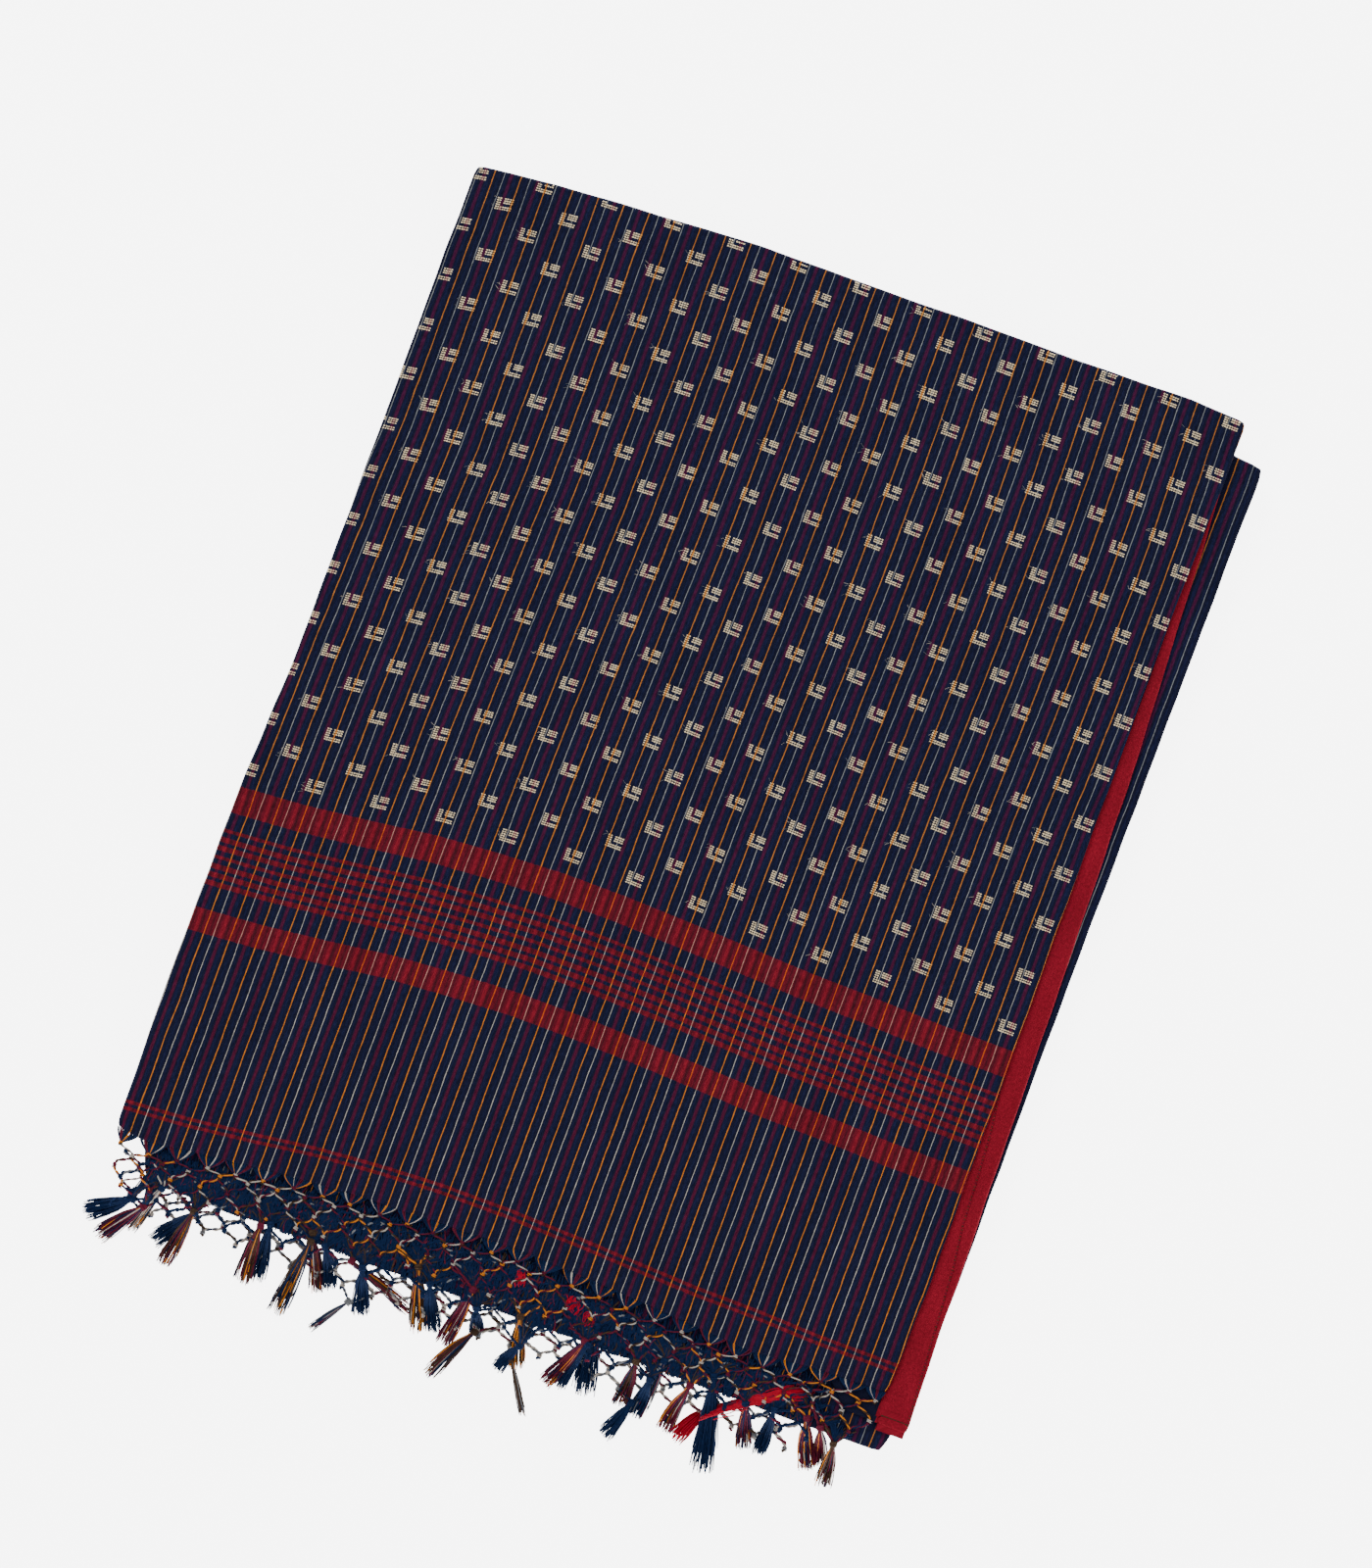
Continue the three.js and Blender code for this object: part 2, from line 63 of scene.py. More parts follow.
# %% Sizes and the drawing's place in the frame
MM = 0.001
HEM_LEFT = 141.6
HEM_FAR = -182.28
hem_low, hem_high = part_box("border_hem")
SHIFT_X = hem_low.x / MM - HEM_LEFT
SHIFT_Y = hem_high.y / MM - HEM_FAR
print(f"drawing to frame: {SHIFT_X:.2f}, {SHIFT_Y:.2f} mm")

BODY_UNDERSIDE = 11.9
BODY_THICKNESS = 1.8
BORDER_UNDERSIDE = 14.0
BORDER_THICKNESS = 1.5
PALLU_UNDERSIDE = 15.8
PALLU_THICKNESS = 2.0
HIDDEN_HEIGHT = 11.6

PALLU = {
    "left": [(-180, -155), (-117, -156), (-40, -155.6), (15, -153.3), (192, -153.2)],
    "right": [(-174, 140.8), (-130, 141.8), (-30, 140.8), (92, 140), (201, 141)],
    "near": [(-155, -179.5), (-144, -181), (-104, -176.5), (-61, -172.8), (2, -171.3),
             (46, -173.5), (90, -176.5), (115, -174.5), (141, -173.8)],
    "far": [(-153, 192.4), (-123, 195.8), (-88, 198.1), (-45, 200.6), (89, 201.8),
            (120, 202.4), (141, 201.3)],
}
BORDER = {
    "left": [(-168, -154), (190, -151.5)],
    "right": [(-185, 153.3), (-148, 151.7), (-55, 149.7), (7, 148.4), (81, 146), (156, 142.1),
              (195, 139.4)],
    "near": [(-154, -168), (112, -168), (128, -184.7), (153, -185.3)],
    "far": [(-152, 190.5), (-88, 196.3), (-45, 198.8), (140, 199.8)],
}
BODY = {
    "left": [(-195, -139), (-172, -147), (-120, -151), (190, -150)],
    "right": [(-195, 146.4), (-187, 147.8), (-165, 151.4), (0, 151.6), (188, 152.7)],
    "near": [(-139, -194.6), (146, -194.8)],
    "far": [(-150, 189.5), (-90, 195), (124, 196.5), (141, 188.9), (153, 188)],
}


def read(table, at):
    """Reads a two-column table, straight between its rows."""
    if at <= table[0][0]:
        return table[0][1]
    for (low, first), (high, second) in zip(table, table[1:]):
        if at <= high:
            return first + (second - first) * (at - low) / (high - low)
    return table[-1][1]


def lerp(first, second, share):
    return first + (second - first) * share


def clamp(value):
    return min(max(value, 0.0), 1.0)


def smooth(value):
    value = clamp(value)
    return value * value * (3 - 2 * value)


def at(x, y, z):
    """A point of the drawing as a point of the frame."""
    return Vector(((x + SHIFT_X) * MM, (y + SHIFT_Y) * MM, z * MM))


# %% [markdown]
# ## Where the threads run
#
# Folding pulls a cloth out of square. The weft sags at the left, and the warp leans a little
# between the far end and the red bands. Two short tables say by how much, and from them comes
# each place's woven coordinate: across the warp, and along it. The pattern follows those.

# %% Woven coordinates
WEFT_SAG = [(-154, -11.0, -9.3), (-131, -9.3, -5.2), (-106, -6.3, -3.0), (-82, -3.0, -2.0),
            (-58, -1.2, -1.0), (-35, 0.0, 0.0), (-11, 0.0, 0.0), (14, -0.8, 0.0),
            (38, -1.8, 0.0), (63, -2.9, 0.0), (87, -3.2, 0.3), (111, -4.0, 0.7),
            (141, -4.0, 0.0)]
SAG_NEAR_Y = -34
SAG_FAR_Y = 198
WARP_LEAN = [(-41, 0.0, 0.0, 0.0), (-2, 0.7, 0.3, -0.1), (37, 1.8, 1.1, 0.2),
             (76, 2.9, 2.1, 1.3), (95, 3.6, 2.6, 1.6), (139, 3.6, 3.0, 1.9),
             (160, 3.6, 3.0, 1.5), (178, 3.5, 2.6, 1.0), (198, 3.4, 2.6, 0.3)]
LEAN_LEFT_X, LEAN_MIDDLE_X, LEAN_RIGHT_X = -150, -8, 135
PLACING_STEPS = 4


def read_columns(table, at, count):
    """Reads the first few value columns of a wider table."""
    return [read([(row[0], row[k + 1]) for row in table], at) for k in range(count)]


def weft_sag(x, y):
    near, far = read_columns(WEFT_SAG, x, 2)
    return lerp(near, far, clamp((y - SAG_NEAR_Y) / (SAG_FAR_Y - SAG_NEAR_Y)))


def warp_lean(x, y):
    left, middle, right = read_columns(WARP_LEAN, y, 3)
    return read([(LEAN_LEFT_X, left), (LEAN_MIDDLE_X, middle), (LEAN_RIGHT_X, right)], x)


def woven(x, y):
    """The woven coordinates of a place on the drawing."""
    return x - warp_lean(x, y), y - weft_sag(x, y)


def placed(across, along):
    """The place on the drawing of a woven coordinate, found in a few steps."""
    x, y = across, along
    for _ in range(PLACING_STEPS):
        x, y = across + warp_lean(x, y), along + weft_sag(x, y)
    return x, y


# %% [markdown]
# ## Folds and creases
#
# The stack is pressed flat, so it has only faint swells and a few soft troughs where a fold of
# a hidden layer shows through. Each trough is placed one by one, and no two are alike.

# %% Swells and creases
SWELLS = [(-62, 118, 0.5, 48, 60), (68, 52, 0.6, 52, 74), (-84, -72, 0.45, 44, 52),
          (34, -104, 0.4, 58, 38)]
# The middle's x and y, the direction in degrees, the length, the width and the depth.
CREASES = [(-96, 60, 84, 190, 7, 0.30), (-128, -60, 96, 120, 6, 0.26), (22, 10, 91, 250, 8, 0.24),
           (86, -40, 86, 160, 6, 0.28), (-30, 150, 8, 110, 7, 0.22), (60, 168, -6, 90, 6, 0.20),
           (-60, -132, 4, 150, 8, 0.26), (104, 96, 80, 120, 6, 0.26), (70, -146, -3, 90, 6, 0.24),
           (-12, -62, 14, 80, 7, -0.20), (-140, 120, 90, 90, 6, -0.22),
           (124, -110, 93, 100, 5, -0.24)]
CREASE_WANDER, CREASE_WAVE = 2.5, 27
BROAD_RUMPLE, FINE_RUMPLE = 0.26, 0.09


def swell(x, y):
    """How far the layers below push the whole stack up at a place."""
    return sum(height * math.exp(-(((x - sx) / wide) ** 2) - ((y - sy) / long) ** 2)
               for sx, sy, height, wide, long in SWELLS)


def crease(x, y):
    """How far the troughs pull the cloth down at a place."""
    total = 0.0
    for cx, cy, degrees, length, width, depth in CREASES:
        turn = math.radians(degrees)
        along = (x - cx) * math.cos(turn) + (y - cy) * math.sin(turn)
        across = (y - cy) * math.cos(turn) - (x - cx) * math.sin(turn)
        across += CREASE_WANDER * math.sin(along / CREASE_WAVE + cx)
        if abs(along) < length / 2:
            fade = math.cos(math.pi * along / length) ** 2
            total -= depth * fade * math.exp(-((across / width) ** 2))
    return total


def rumple(x, y):
    """The small unevenness that any handled cotton keeps."""
    broad = noise.noise(Vector((x / 34, y / 48, 1.7)))
    fine = noise.noise(Vector((x / 9, y / 13, 5.2)))
    return BROAD_RUMPLE * broad + FINE_RUMPLE * fine


def lying(top, x, y):
    """The height of the cloth's face at a place, for a leaf with its top at a height."""
    return top + swell(x, y) + crease(x, y) + rumple(x, y)


# %% [markdown]
# ## A leaf of folded cloth
#
# A leaf is four layers of cloth folded over each other, so its edge is round and its inside
# doesn't show. A flat grid is added as a primitive, and its points are moved onto the leaf:
# the middle goes to the upper face, and the outer rows go round the edge and under it. Then
# Solidify gives the cloth its thickness. The woven coordinates become the UV map, in metres.

# %% The leaf's form
CLOTH = 0.3
EDGE_STEPS = 6
TUCK = 5.0
CORNER = 1.5
EDGE_WAVE = 0.35
# How deep the groove between a leaf's folds is, and how wide, as shares of the edge.
FOLD_GROOVE, FOLD_GROOVE_WIDTH = 0.4, 0.13


def share_steps(cells):
    """Rows of a grid: share of the way, turn round the edge, tuck beneath, and side."""
    rows = [(0.0, 1.0, TUCK, -1), (0.0, 1.0, TUCK / 3, -1)]
    rows += [(0.0, 1 - k / EDGE_STEPS, 0.0, -1) for k in range(EDGE_STEPS)]
    rows += [(k / cells, 0.0, 0.0, -1 if k < cells / 2 else 1) for k in range(cells + 1)]
    rows += [(1.0, (k + 1) / EDGE_STEPS, 0.0, 1) for k in range(EDGE_STEPS)]
    rows += [(1.0, 1.0, TUCK / 3, 1), (1.0, 1.0, TUCK, 1)]
    return rows


def inside(outline, u, v, insets):
    """The place at a share of the way across and along an outline, and its four sides there."""
    in_left, in_right, in_near, in_far = insets
    y = lerp(read(outline["near"], 0), read(outline["far"], 0), v)
    left, right = read(outline["left"], y) + in_left, read(outline["right"], y) - in_right
    x = lerp(left, right, u)
    near, far = read(outline["near"], x) + in_near, read(outline["far"], x) - in_far
    return x, lerp(near, far, v), (left, right, near, far)


def round_corner(x, y, side_x, side_y, sides):
    """Moves a place in, so that the corner on its side of the outline is round."""
    left, right, near, far = sides
    corner_x = left + CORNER if side_x < 0 else right - CORNER
    corner_y = near + CORNER if side_y < 0 else far - CORNER
    out_x, out_y = side_x * (x - corner_x), side_y * (y - corner_y)
    if out_x > 0 and out_y > 0:
        shrink = max(out_x, out_y) / math.hypot(out_x, out_y)
        x, y = corner_x + side_x * out_x * shrink, corner_y + side_y * out_y * shrink
    return x, y


def leaf_point(outline, column, row, radius, folds):
    """A point of a leaf: its plan, its height over the underside, how far round, and its flat."""
    u, turn_x, tuck_x, side_x = column
    v, turn_y, tuck_y, side_y = row
    x, y, sides = inside(outline, u, v, [radius] * 4)
    flat = (x, y)
    turn = max(turn_x, turn_y)
    groove = 1.0
    if folds and turn_x >= turn_y:
        groove = 1 - FOLD_GROOVE * math.exp(-(((turn - 0.5) / FOLD_GROOVE_WIDTH) ** 2))
    swing = radius * math.sin(math.pi * turn) * groove
    if turn:
        x += side_x * (swing * turn_x / turn - tuck_x)
        y += side_y * (swing * turn_y / turn - tuck_y)
    x, y = round_corner(x, y, side_x, side_y, sides)
    edge_wave = EDGE_WAVE * noise.noise(Vector((x / 21, y / 17, radius)))
    x += side_x * edge_wave * (abs(u - 0.5) * 2) ** 12
    y += side_y * edge_wave * (abs(v - 0.5) * 2) ** 12
    height = radius + radius * math.cos(math.pi * turn)
    return (x, y), height, turn, flat


def only(piece):
    """Selects one piece and makes it the active one."""
    bpy.ops.object.select_all(action="DESELECT")
    piece.select_set(True)
    bpy.context.view_layer.objects.active = piece


def linked(name, data):
    """Adds an object with its data to the scene."""
    made = bpy.data.objects.new(name, data)
    bpy.context.scene.collection.objects.link(made)
    return made


def grid_piece(name, columns, rows):
    """A primitive grid with a point for each column and row, and each point's two numbers."""
    bpy.ops.object.select_all(action="DESELECT")
    across, along = len(columns) - 1, len(rows) - 1
    bpy.ops.mesh.primitive_grid_add(x_subdivisions=across, y_subdivisions=along, size=2)
    piece = bpy.context.object
    piece.name = name
    piece.data.name = name
    numbers = [(round((v.co.x + 1) / 2 * across), round((v.co.y + 1) / 2 * along))
               for v in piece.data.vertices]
    return piece, numbers


def weave_map(piece, coordinates):
    """Writes the woven coordinates, in metres, as the piece's own UV map."""
    mesh = piece.data
    for layer in list(mesh.uv_layers):
        mesh.uv_layers.remove(layer)
    layer = mesh.uv_layers.new(name="weave")
    for loop in mesh.loops:
        u, v = coordinates[loop.vertex_index]
        layer.data[loop.index].uv = (u * MM, v * MM)


def thicken(piece, thickness, material):
    """Gives a sheet its thickness, inwards, and its finish."""
    piece.data.materials.clear()
    piece.data.materials.append(material)
    only(piece)
    solidify = piece.modifiers.new("cloth", "SOLIDIFY")
    solidify.thickness = thickness * MM
    solidify.offset = -1
    bpy.ops.object.modifier_apply(modifier=solidify.name)
    bpy.ops.object.shade_smooth()


def cloth_leaf(name, outline, underside, thickness, cells, material, threads, folds=False):
    """One leaf of folded cloth as a thin shell. threads gives the woven coordinates."""
    radius = thickness / 2
    columns, rows = share_steps(cells[0]), share_steps(cells[1])
    piece, numbers = grid_piece(name, columns, rows)
    coordinates = []
    for vertex, (i, j) in zip(piece.data.vertices, numbers):
        column, row = columns[i], rows[j]
        (x, y), height, turn, flat = leaf_point(outline, column, row, radius, folds)
        height += underside + swell(x, y)
        height += (1 - turn) * (crease(x, y) + rumple(x, y))
        vertex.co = at(x, y, height)
        across, along = threads(*flat)
        across += column[3] * (math.pi * radius * column[1] + column[2])
        along += row[3] * (math.pi * radius * row[1] + row[2])
        coordinates.append((across, along))
    weave_map(piece, coordinates)
    thicken(piece, CLOTH, material)
    print(name, "faces:", len(piece.data.polygons))
    return piece


# %% [markdown]
# ## Colours and the cloth's finish
#
# The cloth is plain-woven handloom cotton: matt, with hardly a shine. Its colours are written as
# sRGB hex values, as a dyer's shade card would give them, and turned to the linear values that
# the shader wants. One function adds a node with its settings and links, and a few short ones
# add the kinds that every finish needs.

# %% Colours and the node helpers
def linear(shade):
    """An sRGB hex value as a linear colour with alpha."""
    parts = [int(shade[k:k + 2], 16) / 255 for k in (1, 3, 5)]
    return (*[c / 12.92 if c <= 0.04045 else ((c + 0.055) / 1.055) ** 2.4 for c in parts], 1.0)


def add(tree, kind, inputs=None, **settings):
    """Adds a node to a tree, sets it and links it. A socket given as an input is linked."""
    made = tree.nodes.new(kind)
    for setting, value in settings.items():
        setattr(made, setting, value)
    for socket, value in (inputs or {}).items():
        if isinstance(value, bpy.types.NodeSocket):
            tree.links.new(value, made.inputs[socket])
        else:
            made.inputs[socket].default_value = value
    return made


def combine(tree, operation, first, second):
    """Two values joined by a sum, a product or a test."""
    return add(tree, "ShaderNodeMath", {0: first, 1: second}, operation=operation).outputs[0]


def remap(tree, value, from_low, from_high, low=0.0, high=1.0):
    """A value moved from one range to another, and kept inside it."""
    return add(tree, "ShaderNodeMapRange", {"Value": value, "From Min": from_low,
                                            "From Max": from_high, "To Min": low,
                                            "To Max": high}).outputs[0]


def blend(tree, share, first, second):
    """A colour between two others."""
    return add(tree, "ShaderNodeMix", {0: share, 6: first, 7: second},
               data_type="RGBA").outputs[2]


def shaded(tree, colour, light):
    """A colour made lighter or darker."""
    return add(tree, "ShaderNodeVectorMath", {0: colour, 3: light}, operation="SCALE").outputs[0]


def bump(tree, height, strength, distance):
    return add(tree, "ShaderNodeBump", {"Height": height, "Strength": strength,
                                        "Distance": distance}).outputs[0]


def ramp(tree, share, stops, interpolation="LINEAR"):
    """The colour that a chart of (position, hex) stops, in rising order, has at a share."""
    node = add(tree, "ShaderNodeValToRGB", {0: share})
    chart = node.color_ramp
    chart.interpolation = interpolation
    while len(chart.elements) > 1:
        chart.elements.remove(chart.elements[-1])
    chart.elements[0].position = stops[0][0]
    chart.elements[0].color = linear(stops[0][1])
    for position, shade in stops[1:]:
        chart.elements.new(position).color = linear(shade)
    return node.outputs[0]


def new_finish(name):
    material = bpy.data.materials.new(name)
    material.use_nodes = True
    tree = material.node_tree
    tree.nodes.clear()
    output = add(tree, "ShaderNodeOutputMaterial")
    shader = add(tree, "ShaderNodeBsdfPrincipled")
    tree.links.new(shader.outputs[0], output.inputs[0])
    return material, tree, shader


def matt(tree, shader, colour, normal):
    """Gives a shader its colour, its bump and the dull face of cotton."""
    tree.links.new(colour, shader.inputs["Base Color"])
    tree.links.new(normal, shader.inputs["Normal"])
    shader.inputs["Roughness"].default_value = 0.88
    shader.inputs["IOR"].default_value = 1.45
    shader.inputs["Specular IOR Level"].default_value = 0.06


# %% [markdown]
# ## The striped cotton
#
# The warp repeats every 9.66 mm: a thin orange yarn, a thinner grey-white one, a maroon stripe
# and navy between. Where the weft turns red, at two bands, seven thin check rows and a double
# line, each warp shows through it in its own way. So there is one chart of a repeat on red weft,
# and two on navy, brighter near the fringe than at the far end. A last chart, along the warp,
# says where the weft is red.
#
# The weave itself is half a millimetre a thread. That is finer than the picture shows, so it is
# only a soft bump, and the streaks of uneven dye are drawn as coarse as they need to show.

# %% The striped cotton's finish
REPEAT = 9.66
ORANGE_AT = 130.8
WHITE_AFTER = 3.5
MAROON_AFTER = 6.2
RED_BANDS = [(-47.8, -38.0), (-92.5, -84.0)]
CHECK_FIRST = -75.4
CHECK_PITCH = 3.3
CHECK_ROWS = 7
CHECK_WIDTH = 1.7
FINE_LINES = [(-162.4, -161.0), (-159.6, -158.2)]
CHART_START, CHART_END = -180.0, -20.0
THREAD_PITCH = 0.5
NAVY = "#16182d"
# Each chart's ground and streak, then its maroon stripe, orange yarn and white yarn.
FAR_SHADES = (NAVY, "#181c3a", "#421334", "#b8702a", "#86898a")
NEAR_SHADES = (NAVY, "#181c3a", "#4c132e", "#d2791c", "#b3ada2")
RED_SHADES = ("#611523", "#45151f", "#7c1a28", "#c9541a", "#b58478")
NEAR_Y, FAR_Y = -120.0, 40.0


def share_of_repeat(after, half_width, shade, ground, soft=0.012):
    """Stops for one stripe, on its ground, with the orange yarn in the middle of the chart."""
    middle = (0.5 + after / REPEAT) % 1
    half = half_width / REPEAT
    return [(middle - half - soft, ground), (middle - half, shade),
            (middle + half, shade), (middle + half + soft, ground)]


def repeat_phase(tree, across):
    """How far a place is through the stripes' repeat."""
    from_orange = combine(tree, "ADD", across, REPEAT / 2 - ORANGE_AT)
    repeats = combine(tree, "DIVIDE", from_orange, REPEAT)
    return add(tree, "ShaderNodeMath", {0: repeats}, operation="FRACT").outputs[0]


def stripe_chart(tree, phase, ground, streak, maroon, orange, white):
    stops = [(0.0, ground)]
    stops += share_of_repeat(MAROON_AFTER, 0.34, maroon, ground, 0.045)
    stops += [(0.27, streak), (0.33, streak), (0.38, ground)]
    stops += share_of_repeat(0, 0.09, orange, ground, 0.015)
    stops += [(0.64, ground), (0.7, streak), (0.76, ground)]
    stops += share_of_repeat(WHITE_AFTER, 0.06, white, ground, 0.013)
    stops += [(0.96, streak), (1.0, ground)]
    return ramp(tree, phase, stops)


def red_weft_chart(tree, along):
    """Black where the weft is navy and white where it is red."""
    checks = [CHECK_FIRST + k * CHECK_PITCH for k in range(CHECK_ROWS)]
    spans = FINE_LINES + RED_BANDS + [(low, low + CHECK_WIDTH) for low in checks]
    stops = [(0.0, "#000000")]
    for low, high in sorted(spans):
        for edge, shade in ((low, "#ffffff"), (high, "#000000")):
            stops.append(((edge - CHART_START) / (CHART_END - CHART_START), shade))
    return ramp(tree, remap(tree, along, CHART_START, CHART_END), stops, "CONSTANT")


def weave_bump(tree, in_mm, strength):
    """A plain weave: one set of waves for the warp and one for the weft, over each other."""
    looks = {"Vector": in_mm, "Scale": math.pi / 10 / THREAD_PITCH, "Distortion": 0.6,
             "Detail": 1.0, "Detail Scale": 0.4}
    warp, weft = (add(tree, "ShaderNodeTexWave", looks, bands_direction=way).outputs["Fac"]
                  for way in ("X", "Y"))
    return bump(tree, combine(tree, "MULTIPLY", warp, weft), strength, 0.00025)


def woven_mm(tree):
    """The woven coordinates in millimetres, for patterns with real sizes."""
    source = add(tree, "ShaderNodeUVMap", uv_map="weave")
    return add(tree, "ShaderNodeVectorMath", {0: source.outputs[0], 1: (1000, 1000, 1000)},
               operation="MULTIPLY").outputs[0]


def streaks(tree, in_mm, across, along, low, high):
    """A grey that varies in long streaks along the warp."""
    stretched = add(tree, "ShaderNodeMapping", {"Vector": in_mm, "Scale": (across, along, 1)})
    cloud = add(tree, "ShaderNodeTexNoise", {"Vector": stretched.outputs[0], "Scale": 1.0,
                                             "Detail": 3.0, "Roughness": 0.6})
    return remap(tree, cloud.outputs[0], 0.3, 0.7, low, high)


def striped_cotton(name):
    material, tree, shader = new_finish(name)
    in_mm = woven_mm(tree)
    split = add(tree, "ShaderNodeSeparateXYZ", {0: in_mm})
    wander = streaks(tree, in_mm, 0.4, 0.08, -0.14, 0.14)
    phase = repeat_phase(tree, combine(tree, "ADD", split.outputs[0], wander))
    far, near, on_red = (stripe_chart(tree, phase, *shades)
                         for shades in (FAR_SHADES, NEAR_SHADES, RED_SHADES))
    on_navy = blend(tree, remap(tree, split.outputs[1], FAR_Y, NEAR_Y), far, near)
    ragged = streaks(tree, in_mm, 2.4, 0.7, -0.22, 0.22)
    is_red = red_weft_chart(tree, combine(tree, "ADD", split.outputs[1], ragged))
    fleck = streaks(tree, in_mm, 3.1, 0.5, 0.55, 1.45)
    mottle = streaks(tree, in_mm, 0.05, 0.03, 0.9, 1.12)
    colour = shaded(tree, blend(tree, is_red, on_navy, on_red),
                    combine(tree, "MULTIPLY", fleck, mottle))
    matt(tree, shader, colour, weave_bump(tree, in_mm, 0.5))
    return material


# %% [markdown]
# ## The red border
#
# The border is plain red cotton, woven in one with the navy cloth, so one finish holds both and
# changes at the border's inner edge. Its face shows small ribs, with a painted highlight on their
# tops and painted shade between them.

# %% The red border's finish
BORDER_INNER_EDGE = 140.2
BORDER_RED = "#941a2c"
# How dark the painted shade between the ribs is, as a share of the red.
PAINTED_RIB_SHADE = 0.62


def red_cotton(name):
    material, tree, shader = new_finish(name)
    in_mm = woven_mm(tree)
    # The red itself is the painted highlight on the ribs' tops, and the darker copy is the painted
    # shade between them.
    high = linear(BORDER_RED)
    low = tuple(c * PAINTED_RIB_SHADE for c in high[:3]) + (1.0,)
    # A fine cloud mixes the painted highlight and painted shade of the ribs.
    red = shaded(tree, blend(tree, streaks(tree, in_mm, 1.1, 0.9, 0.0, 1.0), low, high),
                 streaks(tree, in_mm, 0.09, 0.04, 0.86, 1.16))
    split = add(tree, "ShaderNodeSeparateXYZ", {0: in_mm})
    is_navy = combine(tree, "LESS_THAN", split.outputs[0], BORDER_INNER_EDGE)
    matt(tree, shader, blend(tree, is_navy, red, linear(NAVY)), weave_bump(tree, in_mm, 0.7))
    return material


# %% [markdown]
# ## Yarns
#
# The fringe and the motifs are cotton yarns of their own: soft, slightly hairy, darker in the
# twist. Each yarn's shade wanders a little along its length, read from its place on the object.

# %% The yarns' finish
def yarn(name, shade, other):
    material, tree, shader = new_finish(name)
    place = add(tree, "ShaderNodeTexCoord").outputs["Object"]
    cloud = add(tree, "ShaderNodeTexNoise", {"Vector": place, "Scale": 900.0, "Detail": 2.0})
    fibres = add(tree, "ShaderNodeTexNoise", {"Vector": place, "Scale": 4000.0})
    matt(tree, shader, blend(tree, cloud.outputs[0], linear(shade), linear(other)),
         bump(tree, fibres.outputs[0], 0.4, 0.0002))
    return material


YARN_SHADES = {
    "navy": ("#0c1730", "#172b50"),
    "orange": ("#b9661f", "#e08a2c"),
    "white": ("#8d8580", "#cfc4b6"),
    "maroon": ("#3d1226", "#742236"),
    "olive": ("#211b1d", "#553f2c"),
    "grey": ("#55595e", "#8a8a8c"),
    "red": ("#8c0f1f", "#bd1a33"),
}
YARNS = {name: yarn(f"{name} cotton yarn", *shades) for name, shades in YARN_SHADES.items()}
YARN_NAMES = list(YARNS)
striped = striped_cotton("striped handloom cotton")
border_red = red_cotton("red border cotton")
print("finishes:", [m.name for m in bpy.data.materials])

# %% [markdown]
# ## The three upper leaves
#
# The pallu leaf is the one with the pattern. The border leaf under it shows only its red edge at
# the right, and the body leaf its stripes, which run the other way about, because that face of
# the cloth is turned over. Its woven coordinate is mirrored to match.

# %% The leaves
PLAIN_CLOTH = 500.0
BODY_ORANGE_X = 142.2
BODY_LEAN = 0.0035


def body_threads(x, y):
    """The body leaf's face is turned over, so its stripes come in the other order."""
    return ORANGE_AT + BODY_ORANGE_X + BODY_LEAN * y - x, PLAIN_CLOTH + y


pallu = cloth_leaf("pallu_cloth", PALLU, PALLU_UNDERSIDE, PALLU_THICKNESS, (130, 160), striped,
                   woven, folds=True)
border = cloth_leaf("border_cloth", BORDER, BORDER_UNDERSIDE, BORDER_THICKNESS, (90, 130),
                    border_red, lambda x, y: (x, y))
body = cloth_leaf("body_cloth", BODY, BODY_UNDERSIDE, BODY_THICKNESS, (90, 110), striped,
                  body_threads, folds=True)

# %% [markdown]
# ## The hidden turns
#
# Under the body leaf lie eleven more turns of cloth. Only their folded edges show, so they share
# one rounded form: a band of fine ridges, two for each turn, no two quite alike. It starts as a
# grid, rolled round the stack's outline, closed at its seam and filled above and below.

# %% The hidden turns
TURNS = [(1.6, 1.1, 0.9, 1.2), (0.5, 0.4, 2.4, 2.9), (2.3, 1.8, 0.6, 0.8), (1.1, 0.7, 1.7, 2.2),
         (3.0, 2.2, 0.4, 1.3), (0.8, 0.5, 0.3, 3.4), (1.9, 1.4, 1.2, 0.9), (0.4, 2.5, 2.8, 2.1),
         (2.6, 0.9, 0.8, 0.6), (1.3, 1.7, 2.1, 2.6), (0.9, 1.2, 1.0, 1.5)]
RIDGES_PER_TURN = 2
RIDGE_STEPS = 3
GROOVE = 0.55
CORNER_SHARES = (0.0012, 0.0024, 0.0036, 0.005)
CELLS_ALONG_SIDE = 60
TURN_WAVE = 0.55
# How far the stripes shift from one ridge to the next at the sides, and at the ends.
RIDGE_SHIFT, END_RIDGE_SHARE = 2.7, 0.2
SHARP_DEGREES = 50


def round_trip(cells):
    """Shares across and along, once round the outline, closer together at the corners."""
    one_way = sorted([k / cells for k in range(cells + 1)] + list(CORNER_SHARES)
                     + [1 - s for s in CORNER_SHARES])
    trip = [(s, 0.0) for s in one_way[:-1]] + [(1.0, s) for s in one_way[:-1]]
    trip += [(s, 1.0) for s in one_way[:0:-1]] + [(0.0, s) for s in one_way[:0:-1]]
    return trip + trip[:1]


def ring_point(u, v, insets):
    """A point of the stack's outline, moved in by its side's inset, with rounded corners."""
    x, y, sides = inside(BODY, u, v, insets)
    return round_corner(x, y, -1 if u < 0.5 else 1, -1 if v < 0.5 else 1, sides)


